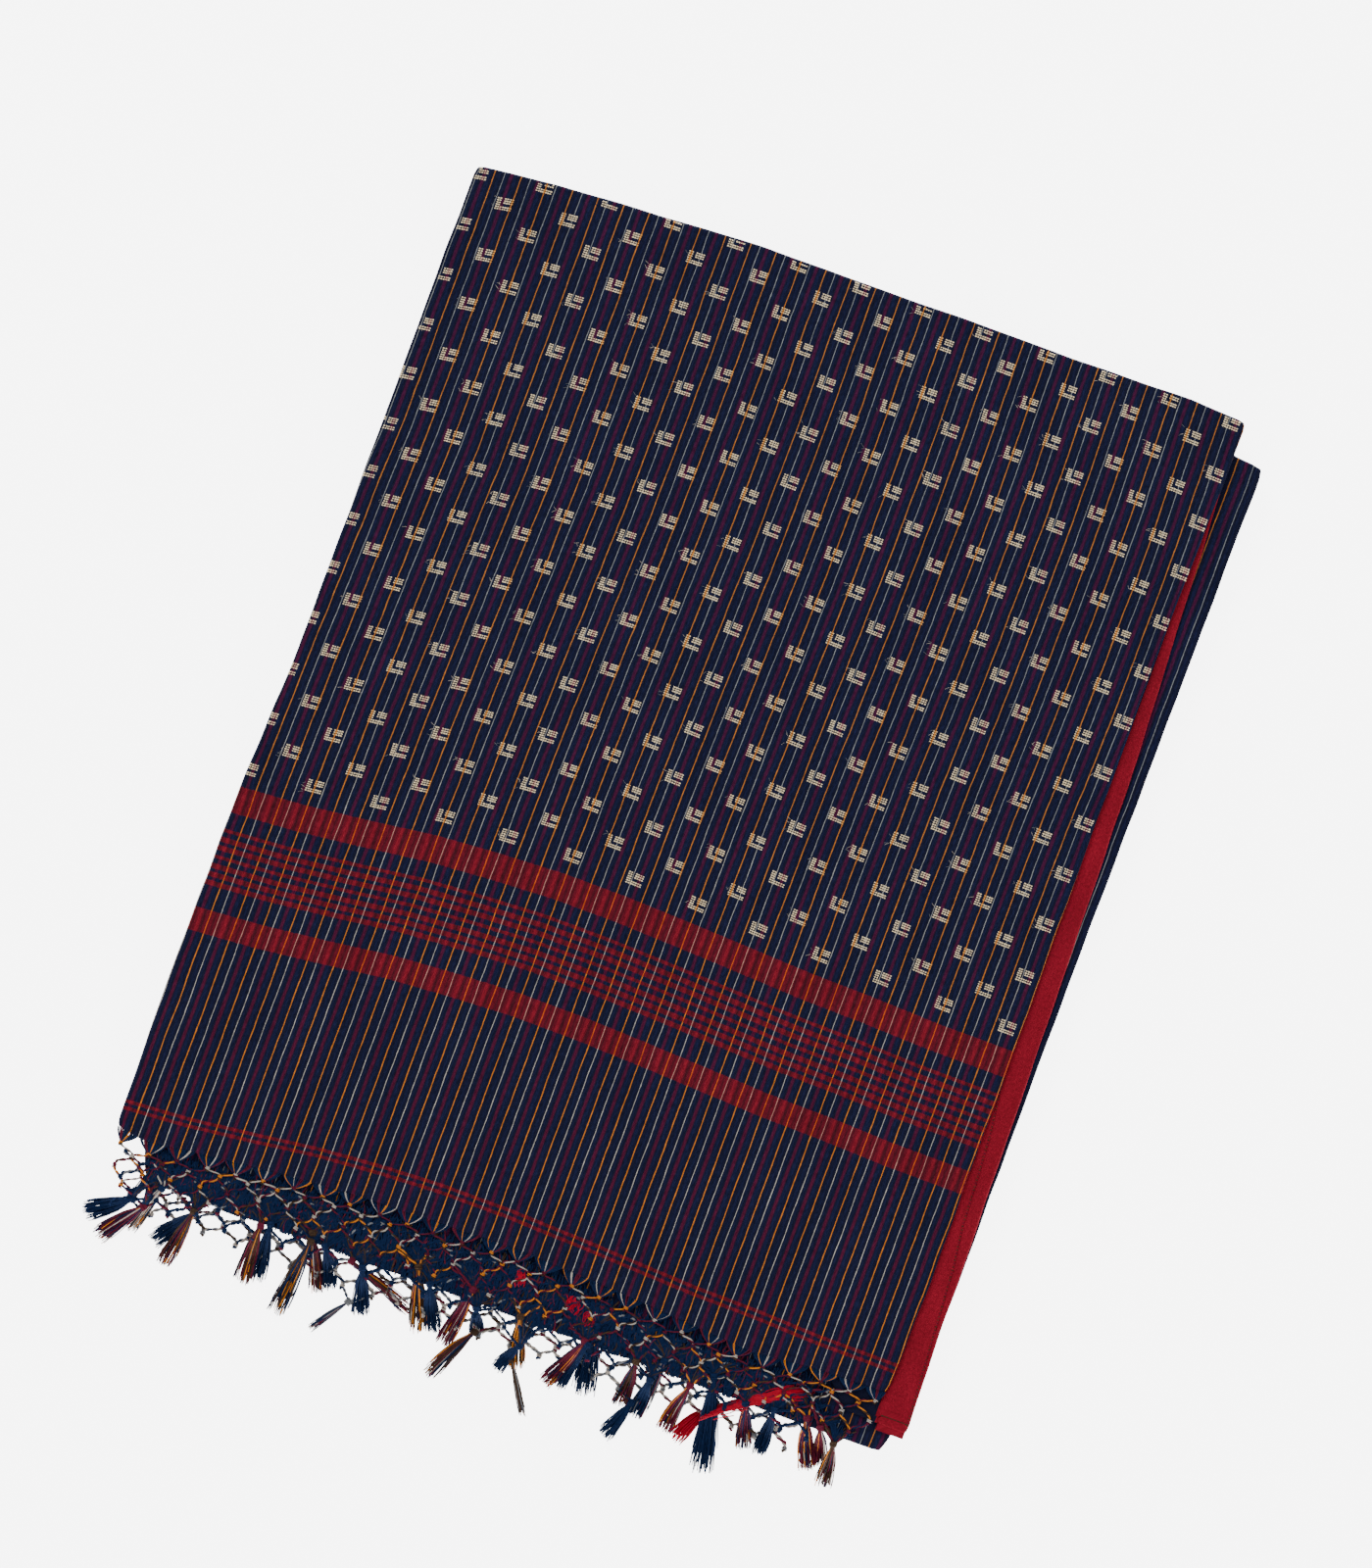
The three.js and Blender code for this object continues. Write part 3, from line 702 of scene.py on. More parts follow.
def ridge_levels():
    """From the top down: the share of the height, the turn, its ridge and the groove's depth."""
    count = len(TURNS) * RIDGES_PER_TURN
    levels = [(1.0, 0, 0, 2.2)]
    for ridge in range(count):
        for step in range(RIDGE_STEPS):
            share = (step + 0.5) / RIDGE_STEPS
            depth = GROOVE * (1 - math.sin(math.pi * share)) * (1 + 0.8 * (ridge % 2))
            levels.append((1 - (ridge + share) / count, ridge // RIDGES_PER_TURN, ridge, depth))
    return levels + [(0.0, len(TURNS) - 1, count, 1.4)]


def straight_stripes(piece):
    """The faces that close the stack above and below take the body cloth's straight stripes."""
    layer = piece.data.uv_layers["weave"]
    for face in piece.data.polygons:
        if len(face.vertices) > 4:
            for index in face.loop_indices:
                spot = piece.data.vertices[piece.data.loops[index].vertex_index].co
                across, along = body_threads(spot.x / MM - SHIFT_X, spot.y / MM - SHIFT_Y)
                layer.data[index].uv = (across * MM, along * MM)


def hidden_stack():
    trip, levels = round_trip(CELLS_ALONG_SIDE), ridge_levels()
    piece, numbers = grid_piece("hidden_turns_cloth", trip, levels)
    coordinates = []
    for vertex, (i, j) in zip(piece.data.vertices, numbers):
        u, v = trip[i]
        share, turn, ridge, depth = levels[len(levels) - 1 - j]
        wave = TURN_WAVE * noise.noise(Vector((u * 9, v * 12, ridge * 3.7)))
        x, y = ring_point(u, v, [inset + depth + wave for inset in TURNS[turn]])
        vertex.co = at(x, y, share * (HIDDEN_HEIGHT + swell(x, y)))
        across, along = body_threads(x, y)
        shift = RIDGE_SHIFT * ridge * (END_RIDGE_SHARE if 0 < u < 1 else 1.0)
        coordinates.append((across + shift, along))
    weave_map(piece, coordinates)
    piece.data.materials.append(striped)
    only(piece)
    bpy.ops.object.mode_set(mode="EDIT")
    bpy.ops.mesh.select_all(action="SELECT")
    bpy.ops.mesh.remove_doubles(threshold=1e-6)
    bpy.ops.mesh.select_all(action="DESELECT")
    bpy.ops.mesh.select_non_manifold()
    bpy.ops.mesh.fill_holes(sides=0)
    bpy.ops.mesh.select_all(action="SELECT")
    bpy.ops.mesh.normals_make_consistent(inside=False)
    bpy.ops.object.mode_set(mode="OBJECT")
    bpy.ops.object.shade_smooth_by_angle(angle=math.radians(SHARP_DEGREES))
    straight_stripes(piece)
    print("hidden turns' ridges:", len(TURNS) * RIDGES_PER_TURN)
    return piece


hidden = hidden_stack()

# %% [markdown]
# ## The border's selvedge and hem
#
# The red border ends at its near end in a rolled hem, sewn down with dark thread, whose close run
# along the hem's upper edge also paints the hem's shadow line. On its face lies the selvedge of
# the layer above: a dotted line that starts under the pallu and slants out to the edge. It is a
# strip of thin cloth with the small loops of weft that a selvedge keeps.

# %% The selvedge strip
SELVEDGE = [(-185, 152.0), (-178, 151.7), (-123, 147.8), (-107, 145.7), (-88, 144.6),
            (-73, 143.6), (-52, 140.9)]
STRIP_INNER_X = 139.6
STRIP_THICKNESS = 0.24
STRIP_NEAR_Y, STRIP_FAR_Y = -182.6, -50
STRIP_CELLS = (8, 66)
BORDER_TOP = BORDER_UNDERSIDE + BORDER_THICKNESS


def selvedge_strip():
    across, along = STRIP_CELLS
    piece, numbers = grid_piece("selvedge_strip", range(across + 1), range(along + 1))
    coordinates = []
    for vertex, (i, j) in zip(piece.data.vertices, numbers):
        y = lerp(STRIP_NEAR_Y, STRIP_FAR_Y, j / along)
        share = 1 - (1 - i / across) ** 1.6
        outer = read(SELVEDGE, y) + 0.12 * math.sin(y * 2.1)
        x = lerp(STRIP_INNER_X, outer, share)
        lift = 0.16 * smooth(share * 3 - 2)
        vertex.co = at(x, y, lying(BORDER_TOP, x, y) + STRIP_THICKNESS + 0.03 + lift)
        coordinates.append((x + 30, y))
    weave_map(piece, coordinates)
    thicken(piece, STRIP_THICKNESS, border_red)
    return piece


strip = selvedge_strip()

HEM_WIDTH = 3.0
HEM_RIGHT = 152.2
HEM_UNDERSIDE = BORDER_TOP + 0.3
HEM_NEAR = read(BORDER["near"], HEM_RIGHT) + 0.3
HEM = {
    "left": [(0, HEM_LEFT - 0.9)],
    "right": [(0, HEM_RIGHT)],
    "near": [(0, HEM_NEAR)],
    "far": [(0, HEM_NEAR + HEM_WIDTH)],
}
hem = cloth_leaf("hem_roll", HEM, HEM_UNDERSIDE - 0.25, 0.95, (24, 8), border_red,
                 lambda x, y: (y + 400, x))

# %% [markdown]
# ## Yarn runs
#
# Cords, knots, tassels and stitches are all yarn: a round section swept along a line. Each run
# is a spline of one curve object, with its own thickness and its own shade, and the curve is
# converted to a mesh once all its runs are in. Four sides are enough for a yarn this fine.

# %% A piece made of yarn runs
def yarn_piece(name, runs):
    """Makes one mesh of many runs. A run is its points in the drawing, radii and shade."""
    curve = bpy.data.curves.new(name, "CURVE")
    curve.dimensions = "3D"
    curve.bevel_depth = MM
    curve.bevel_resolution = 0
    curve.use_fill_caps = True
    for shade in YARN_NAMES:
        curve.materials.append(YARNS[shade])
    for points, radii, shade in runs:
        spline = curve.splines.new("POLY")
        spline.points.add(len(points) - 1)
        for k, (x, y, z) in enumerate(points):
            spline.points[k].co = (*at(x, y, z), 1.0)
            spline.points[k].radius = radii[k] if isinstance(radii, list) else radii
        spline.material_index = YARN_NAMES.index(shade)
        spline.use_smooth = True
    only(linked(name, curve))
    bpy.ops.object.convert(target="MESH")
    piece = bpy.context.object
    piece.name = name
    print(name, "runs:", len(runs), "faces:", len(piece.data.polygons))
    return piece


def twisted(start, end, shades, radius=0.3, sag=0.0, bend=0.0, turns=2.5, steps=12,
            curve=0.0):
    """Two plies twisted round each other from one point to another, as two runs.

    With a curve, the cord leaves and arrives along the warp, as between the knots of a net.
    """
    start, end = Vector(start), Vector(end)
    along = end - start
    side = Vector((-along.y, along.x, 0)).normalized()
    up = side.cross(along.normalized())
    runs = []
    for ply, shade in enumerate(shades):
        points = []
        for k in range(steps + 1):
            share = k / steps
            hump = math.sin(math.pi * share)
            angle = 2 * math.pi * turns * share + math.pi * ply
            spread = radius * 0.85 * min(1.0, 4 * share + 0.2, 4 * (1 - share) + 0.2)
            place = start + along * share
            place.x = lerp(start.x, end.x, lerp(share, smooth(1.7 * share - 0.35), curve))
            points.append(place + side * (bend * hump + spread * math.cos(angle))
                          + up * (spread * math.sin(angle)) + Vector((0, 0, -sag * hump)))
        runs.append((points, radius, shade))
    return runs


def wound_knot(middle, shade, size=0.62, radius=0.3, turns=1.6, steps=10, lean=0.0):
    """A small knot: a cord wound round where the cords cross."""
    points = []
    for k in range(steps + 1):
        angle = 2 * math.pi * turns * k / steps + lean
        drift = (k / steps - 0.5) * 0.9
        points.append(Vector(middle) + Vector((size * math.cos(angle), drift,
                                               size * math.sin(angle))))
    return (points, radius, shade)


# %% [markdown]
# ## The stitches
#
# Dark thread holds the hem down, and each weft turns back at the selvedge in a loop. The dark
# stitches lie close along the hem's upper edge, so they also paint its shadow line.

# %% Hem stitches and selvedge loops
STITCH_PITCH = 1.5
STITCH_LENGTH = 1.3
LOOP_PITCH = 1.25


def stitch_runs():
    runs = []
    # The hem's dark stitches run close along its upper edge and also paint the shadow line there.
    y = HEM_NEAR + HEM_WIDTH + 0.1
    x = HEM_LEFT
    while x < HEM_RIGHT - STITCH_LENGTH:
        z = lying(BORDER_TOP, x, y) + 0.3
        runs.append(([(x, y, z), (x + STITCH_LENGTH / 2, y + 0.03, z + 0.1),
                      (x + STITCH_LENGTH, y, z)], 0.26, "olive"))
        x += STITCH_PITCH
    count = int((STRIP_FAR_Y - STRIP_NEAR_Y) / LOOP_PITCH)
    for k in range(count):
        y = STRIP_NEAR_Y + k * LOOP_PITCH
        x = read(SELVEDGE, y) - 0.1
        z = lying(BORDER_TOP, x, y) + STRIP_THICKNESS + 0.12
        shade = "maroon" if k % 3 == 1 else "olive"
        runs.append(([(x - 0.5, y, z + 0.1), (x + 0.15, y + 0.3, z + 0.06),
                      (x - 0.5, y + 0.55, z + 0.1)], 0.13, shade))
    return runs


stitches = yarn_piece("hem_stitches_and_shadow_line", stitch_runs())

# %% [markdown]
# ## The woven motifs
#
# The small cream motifs are extra weft: a thick cotton yarn is laid in by hand for six rows and
# shows as short floats. One float is modelled from a cube, and copies of it are set by a chart.
# Every motif is the same. Their columns are 12 mm apart, and every other column is set half a
# step off. The rows bow a little, as the cloth was pulled on in weaving.

# %% The motif's finish
CREAM = "#ffe9bd"


def motif_cotton(name):
    """Cream cotton that takes a tint from the maroon and orange warps beneath it."""
    material, tree, shader = new_finish(name)
    in_mm = woven_mm(tree)
    split = add(tree, "ShaderNodeSeparateXYZ", {0: in_mm})
    stops = [(0.0, CREAM)] + share_of_repeat(MAROON_AFTER, 0.4, "#ecc0a4", CREAM, 0.03)
    stops += share_of_repeat(0, 0.3, "#f0a850", CREAM, 0.03) + [(1.0, CREAM)]
    tint = ramp(tree, repeat_phase(tree, split.outputs[0]), stops)
    wear = streaks(tree, in_mm, 1.7, 1.3, 0.92, 1.1)
    matt(tree, shader, shaded(tree, tint, wear), weave_bump(tree, in_mm, 0.4))
    return material


motif_finish = motif_cotton("cream extra weft cotton")

# %% The motif's chart and the floats
MOTIF_CHART = ["XX.XXXX",
               "XX.XXXX",
               "XX.XXXX",
               "XX.....",
               "XXXXXXX",
               "XXXXXXX"]
FLOAT_PITCH = 0.87
ROW_PITCH = 0.8
FLOAT_LENGTH, FLOAT_WIDTH, FLOAT_HEIGHT = 0.78, 0.54, 0.26
COLUMN_FIRST, COLUMN_PITCH, COLUMNS = -154.4, 24.15, 13
MOTIF_FIRST_Y, MOTIF_STEP, MOTIF_ROWS = -30.3, 19.08, 13
WEFT_BOW = 1.8
FLOAT_LIFT = 0.06
PALLU_TOP = PALLU_UNDERSIDE + PALLU_THICKNESS


def float_template():
    """One float: a cube with its upper face drawn in. Gives its corners and its faces."""
    bpy.ops.object.select_all(action="DESELECT")
    bpy.ops.mesh.primitive_cube_add(size=1)
    cube = bpy.context.object
    bpy.ops.object.mode_set(mode="EDIT")
    bpy.ops.mesh.select_all(action="DESELECT")
    bpy.ops.object.mode_set(mode="OBJECT")
    for face in cube.data.polygons:
        face.select = face.normal.z > 0.5
    bpy.ops.object.mode_set(mode="EDIT")
    bpy.ops.transform.resize(value=(0.62, 0.5, 1))
    bpy.ops.object.mode_set(mode="OBJECT")
    corners = [tuple(v.co) for v in cube.data.vertices]
    faces = [tuple(face.vertices) for face in cube.data.polygons]
    bpy.data.objects.remove(cube)
    return corners, faces


def bowed(across, along):
    """The middle rows were pulled on a little, except near the far left corner."""
    share = clamp((along - MOTIF_FIRST_Y) / (MOTIF_STEP * MOTIF_ROWS))
    corner = smooth((-across - 90) / 40) * smooth((along - 60) / 50)
    return across, along + WEFT_BOW * math.sin(math.pi * share) * (1 - corner)


def motif_places():
    """The woven middle of each motif."""
    for column in range(COLUMNS):
        for row in range(MOTIF_ROWS):
            yield bowed(COLUMN_FIRST + column * COLUMN_PITCH, MOTIF_FIRST_Y + row * MOTIF_STEP)
        if column < COLUMNS - 1:
            for row in range(MOTIF_ROWS - 1):
                yield bowed(COLUMN_FIRST + (column + 0.5) * COLUMN_PITCH,
                            MOTIF_FIRST_Y + (row + 0.5) * MOTIF_STEP)


def on_pallu(x, y, margin):
    """Whether a place is on the flat of the pallu leaf, clear of its rounded edge."""
    inside_x = read(PALLU["left"], y) + margin < x < read(PALLU["right"], y) - margin
    return inside_x and y < read(PALLU["far"], x) - margin


def woven_motifs():
    corners, faces = float_template()
    rng = random.Random(7)
    points, polygons, coordinates = [], [], []
    motifs = 0
    for across, along in motif_places():
        across += rng.uniform(-0.25, 0.25)
        along += rng.uniform(-0.35, 0.35)
        motifs += 1
        for row, line in enumerate(MOTIF_CHART):
            for column, mark in enumerate(line):
                if mark != "X":
                    continue
                u = across + (column - (len(line) - 1) / 2) * FLOAT_PITCH
                u += rng.uniform(-0.05, 0.05)
                v = along + ((len(MOTIF_CHART) - 1) / 2 - row) * ROW_PITCH
                x, y = placed(u, v)
                if not on_pallu(x, y, 0.7):
                    continue
                ahead = placed(u + 1, v)
                turn = math.atan2(ahead[1] - y, ahead[0] - x)
                start = len(points)
                z = lying(PALLU_TOP, x, y)
                size = rng.uniform(0.86, 1.1)
                for cx, cy, cz in corners:
                    cx, cy = cx * FLOAT_LENGTH * size, cy * FLOAT_WIDTH * size
                    points.append(at(x + cx * math.cos(turn) - cy * math.sin(turn),
                                     y + cx * math.sin(turn) + cy * math.cos(turn),
                                     z + cz * FLOAT_HEIGHT + FLOAT_LIFT))
                    coordinates.append((u + cx, v + cy))
                polygons += [tuple(start + k for k in face) for face in faces]
    mesh = bpy.data.meshes.new("woven_motifs")
    mesh.from_pydata(points, [], polygons)
    piece = linked("woven_motifs", mesh)
    weave_map(piece, coordinates)
    mesh.materials.append(motif_finish)
    only(piece)
    bpy.ops.object.shade_smooth()
    print("motifs:", motifs, "floats' faces:", len(mesh.polygons))
    return piece


motifs = woven_motifs()

# %% [markdown]
# Where each motif's yarn starts and stops, short frayed tails stand out of the cloth at its left.

# %% The motifs' tails
FRAYED_SHARE = 0.62
MOTIF_LEFT = 3.2
TAIL_RADIUS = 0.07


def tail_runs():
    rng = random.Random(11)
    runs = []
    for across, along in motif_places():
        if rng.random() > FRAYED_SHARE:
            continue
        for _ in range(rng.choice((2, 3, 4))):
            u = across - MOTIF_LEFT - rng.uniform(0, 0.3)
            v = along + rng.uniform(-2.6, 2.6)
            x, y = placed(u, v)
            if not on_pallu(x, y, 2.5):
                continue
            reach, rise = rng.uniform(0.6, 1.7), rng.uniform(0.2, 0.5)
            turn = rng.uniform(-1.2, 1.2)
            z = lying(PALLU_TOP, x, y)
            runs.append(([(x, y, z), (x - reach * 0.5, y + turn * 0.4, z + rise),
                          (x - reach, y + turn, z + rise * 0.6)], TAIL_RADIUS,
                         rng.choice(("grey", "white", "navy"))))
    return runs


tails = yarn_piece("motif_tails", tail_runs())

# %% [markdown]
# ## Where the warp ends gather
#
# Beyond the last weft the warp is loose. It is gathered into knots 10.7 mm apart, and from each
# knot two cords go on to the knots of the next row, half a pitch to each side. The first row of
# knots follows the sagging end of the cloth. All of it lies on the stack, then falls over the
# stack's edge to the floor.

# %% The line of the first knots and the net's height
ROOT = [(-154.5, -184), (-143.7, -185.6), (-123.4, -183.1), (-102.9, -180.4), (-82.6, -177.8),
        (-61.1, -176.6), (-39.6, -176.3), (-19.1, -175.5), (2, -175.3), (23.8, -177),
        (46.3, -177.4), (68.8, -178.9), (89.9, -180.6), (101.4, -180.1), (112.8, -178.2),
        (123, -177.1), (134, -177.9), (140.1, -177.2)]
UPPER_END = [(-155, -206), (-136, -204), (-118, -200.5), (-90, -198), (-60, -197.2), (140, -197)]
NET_FIRST_X, KNOT_PITCH, NET_COLUMNS = -151.0, 10.7, 28
# The darker net below it stops short of the right end.
UNDER_COLUMNS = 26
UPPER_ROWS = [0.0, 0.13, 0.41, 0.70, 0.98]
LOWER_FIRST_X, LOWER_COLUMNS = -133.0, 24
LOWER_NET_Y = [-196.2, -201.0, -206.2]
FALL_START_Y = -197.5
NET_FOOT_Y = -210.0
ON_PALLU, ON_STACK, ON_BORDER, ON_FLOOR = 16.9, 15.0, 16.5, 1.4
BORDER_FROM_X = 104
LOWER_TOP_Y, LOWER_DROP_Y, LOWER_TOP = -195.3, 7.7, 6.2


def upper_height(x, y, lift=0.0):
    """The height of the upper net, which falls over the stack's edge to the floor."""
    pallu_edge = read(PALLU["near"], x)
    height = lerp(ON_PALLU, ON_STACK, smooth((pallu_edge - y) / 5))
    if x > BORDER_FROM_X:
        on_border = smooth((x - BORDER_FROM_X) / 8) * smooth((y + 193) / 6)
        height = max(height, lerp(height, ON_BORDER, on_border))
    fall = clamp((FALL_START_Y - y) / (FALL_START_Y - NET_FOOT_Y))
    return lerp(height + lift, ON_FLOOR, fall)


def lower_height(y):
    return lerp(LOWER_TOP, ON_FLOOR, clamp((LOWER_TOP_Y - y) / LOWER_DROP_Y))


def net_knots(first, columns, rows, place, rng, jitter=0.5):
    """Each row's knots, every other row half a pitch to the right."""
    table = []
    for row in range(rows):
        shift = KNOT_PITCH / 2 if row % 2 else 0.0
        count = columns - 1 if row % 2 else columns
        table.append([place(first + shift + k * KNOT_PITCH + rng.uniform(-jitter, jitter), row,
                            rng.uniform(-jitter, jitter) * 0.8) for k in range(count)])
    return table


def upper_place(x, row, drift, lift=0.0, offset=(0.0, 0.0)):
    x += offset[0]
    y = lerp(read(ROOT, x), read(UPPER_END, x), UPPER_ROWS[row]) + offset[1]
    y += drift if row else drift * 0.3
    return Vector((x, y, upper_height(x, y, lift)))


# %% [markdown]
# ## The loose warp ends
#
# The yarns keep the colours of their stripes, so an orange, a white and a maroon yarn stand out
# among the navy ones in each gathered bunch.

# %% Gathered warp ends
ENDS_PER_KNOT = 26
# How far each coloured warp reaches to either side of its middle.
ORANGE_HALF, WHITE_HALF, MAROON_HALF = 0.35, 0.3, 0.75


def stripe_shade(x, y):
    """Which yarn the warp has at a place."""
    after = (woven(x, y)[0] - ORANGE_AT) % REPEAT
    if after < ORANGE_HALF or after > REPEAT - ORANGE_HALF:
        return "orange"
    if abs(after - WHITE_AFTER) < WHITE_HALF:
        return "white"
    if abs(after - MAROON_AFTER) < MAROON_HALF:
        return "maroon"
    return "navy"


def gathered_ends(knots):
    rng = random.Random(3)
    left, right = read(PALLU["left"], -180) + 0.6, read(PALLU["right"], -178) - 0.4
    runs = []
    for knot in knots:
        for k in range(ENDS_PER_KNOT):
            share = (k + rng.uniform(0.1, 0.9)) / ENDS_PER_KNOT
            x = knot.x + (share - 0.5) * KNOT_PITCH
            if not left < x < right:
                continue
            y = read(PALLU["near"], x) + 0.4
            start = Vector((x, y, PALLU_UNDERSIDE + 1.3 + rng.uniform(-0.4, 0.5)))
            points = []
            for step in range(6):
                t = step / 5
                pull = t ** 1.5
                point = start.lerp(knot, t)
                point.x = lerp(start.x, knot.x + (share - 0.5) * 0.9, pull)
                point.z += 0.3 * math.sin(math.pi * t)
                points.append(point)
            runs.append((points, rng.uniform(0.17, 0.26), stripe_shade(x, y + 4)))
    return runs


# %% [markdown]
# ## The nets
#
# There are three nets, one for each pallu layer that shows: the upper one, a darker one under
# it, and a lower one that hangs down to the floor. Their open cells show what lies behind.

# %% Cords and knots of a net
BRIGHT_PAIRS = [("white", "maroon"), ("orange", "maroon"), ("maroon", "navy"),
                ("orange", "olive"), ("maroon", "navy"), ("white", "olive"),
                ("maroon", "olive")]
DARK_PAIRS = [("navy", "navy"), ("navy", "navy"), ("navy", "maroon"), ("navy", "grey")]
LOWER_PAIRS = [("grey", "white"), ("grey", "white"), ("white", "maroon"), ("grey", "olive"),
               ("white", "navy")]
KNOT_SIZE = 0.72
# The length of one full twist of a cord's plies.
TWIST_LENGTH = 3.6


def net_runs(table, rng, pairs, radius=0.3, steps=12):
    """The knots of a net, and the two cords from each knot to the next row."""
    runs = []
    for row, knots in enumerate(table):
        for k, knot in enumerate(knots):
            first, second = rng.choice(pairs)
            runs.append(wound_knot(knot, first, KNOT_SIZE, radius, lean=rng.uniform(0, 6)))
            runs.append(wound_knot(knot + Vector((0, -0.75, 0)), second, KNOT_SIZE * 0.85,
                                   radius, turns=1.1, steps=7, lean=rng.uniform(0, 6)))
            if row + 1 == len(table):
                continue
            below = table[row + 1]
            partners = (k - 1, k) if row % 2 == 0 else (k, k + 1)
            for partner in partners:
                if 0 <= partner < len(below):
                    length = (below[partner] - knot).length
                    runs += twisted(knot, below[partner], rng.choice(pairs),
                                    radius * rng.uniform(0.85, 1.15), sag=0.1,
                                    bend=rng.uniform(-0.4, 0.4), turns=length / TWIST_LENGTH,
                                    steps=steps, curve=0.8)
    return runs


rng = random.Random(21)
upper_knots = net_knots(NET_FIRST_X, NET_COLUMNS, 4, upper_place, rng)
gathers = yarn_piece("gathered_warp_ends", gathered_ends(upper_knots[0]))
net_upper = yarn_piece("net_upper_cords", net_runs(upper_knots, rng, BRIGHT_PAIRS))


def under_place(x, row, drift):
    return upper_place(x, row, drift, lift=-0.75, offset=(3.1, -2.2))


under_knots = net_knots(NET_FIRST_X, UNDER_COLUMNS, 5, under_place, rng, jitter=0.9)
net_under = yarn_piece("net_under_cords", net_runs(under_knots, rng, DARK_PAIRS, 0.42, 8))


def lower_place(x, row, drift):
    y = LOWER_NET_Y[row] + drift * 0.7
    return Vector((x, y, lower_height(y)))


lower_knots = net_knots(LOWER_FIRST_X, LOWER_COLUMNS, 3, lower_place, rng, jitter=1.1)
net_lower = yarn_piece("net_lower_cords", net_runs(lower_knots, rng, LOWER_PAIRS, 0.48, 9))

# %% [markdown]
# ## Loose yarn below the nets
#
# Under the nets lies the loose navy yarn of the layers below, so thick that the body leaf's
# stripes don't show through it. Near the right, red yarn of the border runs through it too.

# %% Loose navy and red yarn
LOOSE_COUNT = 3400
LOOSE_LEFT, LOOSE_RIGHT = -149, 118
LOOSE_END, LOOSE_SPILL = -194.4, 0.9
LOOSE_HEIGHT, LOOSE_DEPTH = 14.05, 0.5
LOOSE_SHADES = ["navy"] * 14 + ["maroon", "olive"]
# Small patches of red yarn, each with its width, and the band that crosses the net at the right.
RED_PATCHES = [(23, -183, 3.0), (31, -186, 2.5), (2, -181, 1.5)]
RED_PER_PATCH, RED_IN_BAND, RED_RADIUS = 26, 300, 0.2
RED_BAND = [Vector((116, -183, 14.6)), Vector((104, -188, 14.8)), Vector((95, -194, 15.0)),
            Vector((88, -198.5, 12.5)), Vector((82, -204, 6.5))]


def wavy_run(start, reach, lean, rng, radius, shade):
    """One loose yarn that runs towards the fringe, bowed a little."""
    points = []
    bow = rng.uniform(-1.4, 1.4)
    for k in range(5):
        t = k / 4
        points.append(start + Vector((lean * t + bow * math.sin(math.pi * t), -reach * t,
                                      rng.uniform(-0.12, 0.12))))
    return (points, radius, shade)


def loose_navy():
    rng = random.Random(29)
    runs = []
    for _ in range(LOOSE_COUNT):
        x = rng.uniform(LOOSE_LEFT, LOOSE_RIGHT)
        top = read(ROOT, x) + 3
        end = LOOSE_END - LOOSE_SPILL * smooth(0.5 + 1.6 * noise.noise(Vector((x / 11, 3, 8))))
        y = rng.uniform(end + 4, top)
        reach = min(rng.uniform(4, 11), y - end)
        if x < read(BODY["left"], y - reach) + 2.0:
            continue
        z = LOOSE_HEIGHT + LOOSE_DEPTH * rng.random() + swell(x, y)
        runs.append(wavy_run(Vector((x, y, z)), reach, rng.uniform(-2.4, 2.4), rng,
                             rng.uniform(0.2, 0.34), rng.choice(LOOSE_SHADES)))
    for x, y, spread in RED_PATCHES:
        for _ in range(RED_PER_PATCH):
            start = Vector((x + rng.gauss(0, spread / 2), y + rng.gauss(0, 1) + 1.5, 14.75))
            runs.append(wavy_run(start, rng.uniform(2, 4), rng.uniform(-1, 1), rng, RED_RADIUS,
                                 "red"))
    return runs


def along_route(route, share):
    """The place at a share of the way along a route's points."""
    step = min(int(share * (len(route) - 1)), len(route) - 2)
    return route[step].lerp(route[step + 1], share * (len(route) - 1) - step)


def red_band():
    rng = random.Random(17)
    runs = []
    for _ in range(RED_IN_BAND):
        first = rng.uniform(0, 0.75)
        last = min(1.0, first + rng.uniform(0.2, 0.45))
        side = rng.gauss(0, 1.5)
        points = []
        for k in range(6):
            place = along_route(RED_BAND, lerp(first, last, k / 5))
            points.append(place + Vector((side * 0.5, side, rng.uniform(-0.2, 0.4)))
                          + Vector((rng.uniform(-0.3, 0.3), rng.uniform(-0.3, 0.3), 0)))
        runs.append((points, RED_RADIUS, "red"))
    return runs


loose_yarn = yarn_piece("loose_navy_yarn", loose_navy())
red_fringe = yarn_piece("red_fringe", red_band())

# %% [markdown]
# ## The tassels
#
# A tassel is a bunch of thread bound by a wound head. The threads leave the head close together
# and spread towards uneven ends. Loose yarn of the layers below is gathered into each head, and
# two cords hang it from a net. The table gives each tassel's CAD node, its head and tip on the
# drawing, its two shades, its width, and how many threads it has.

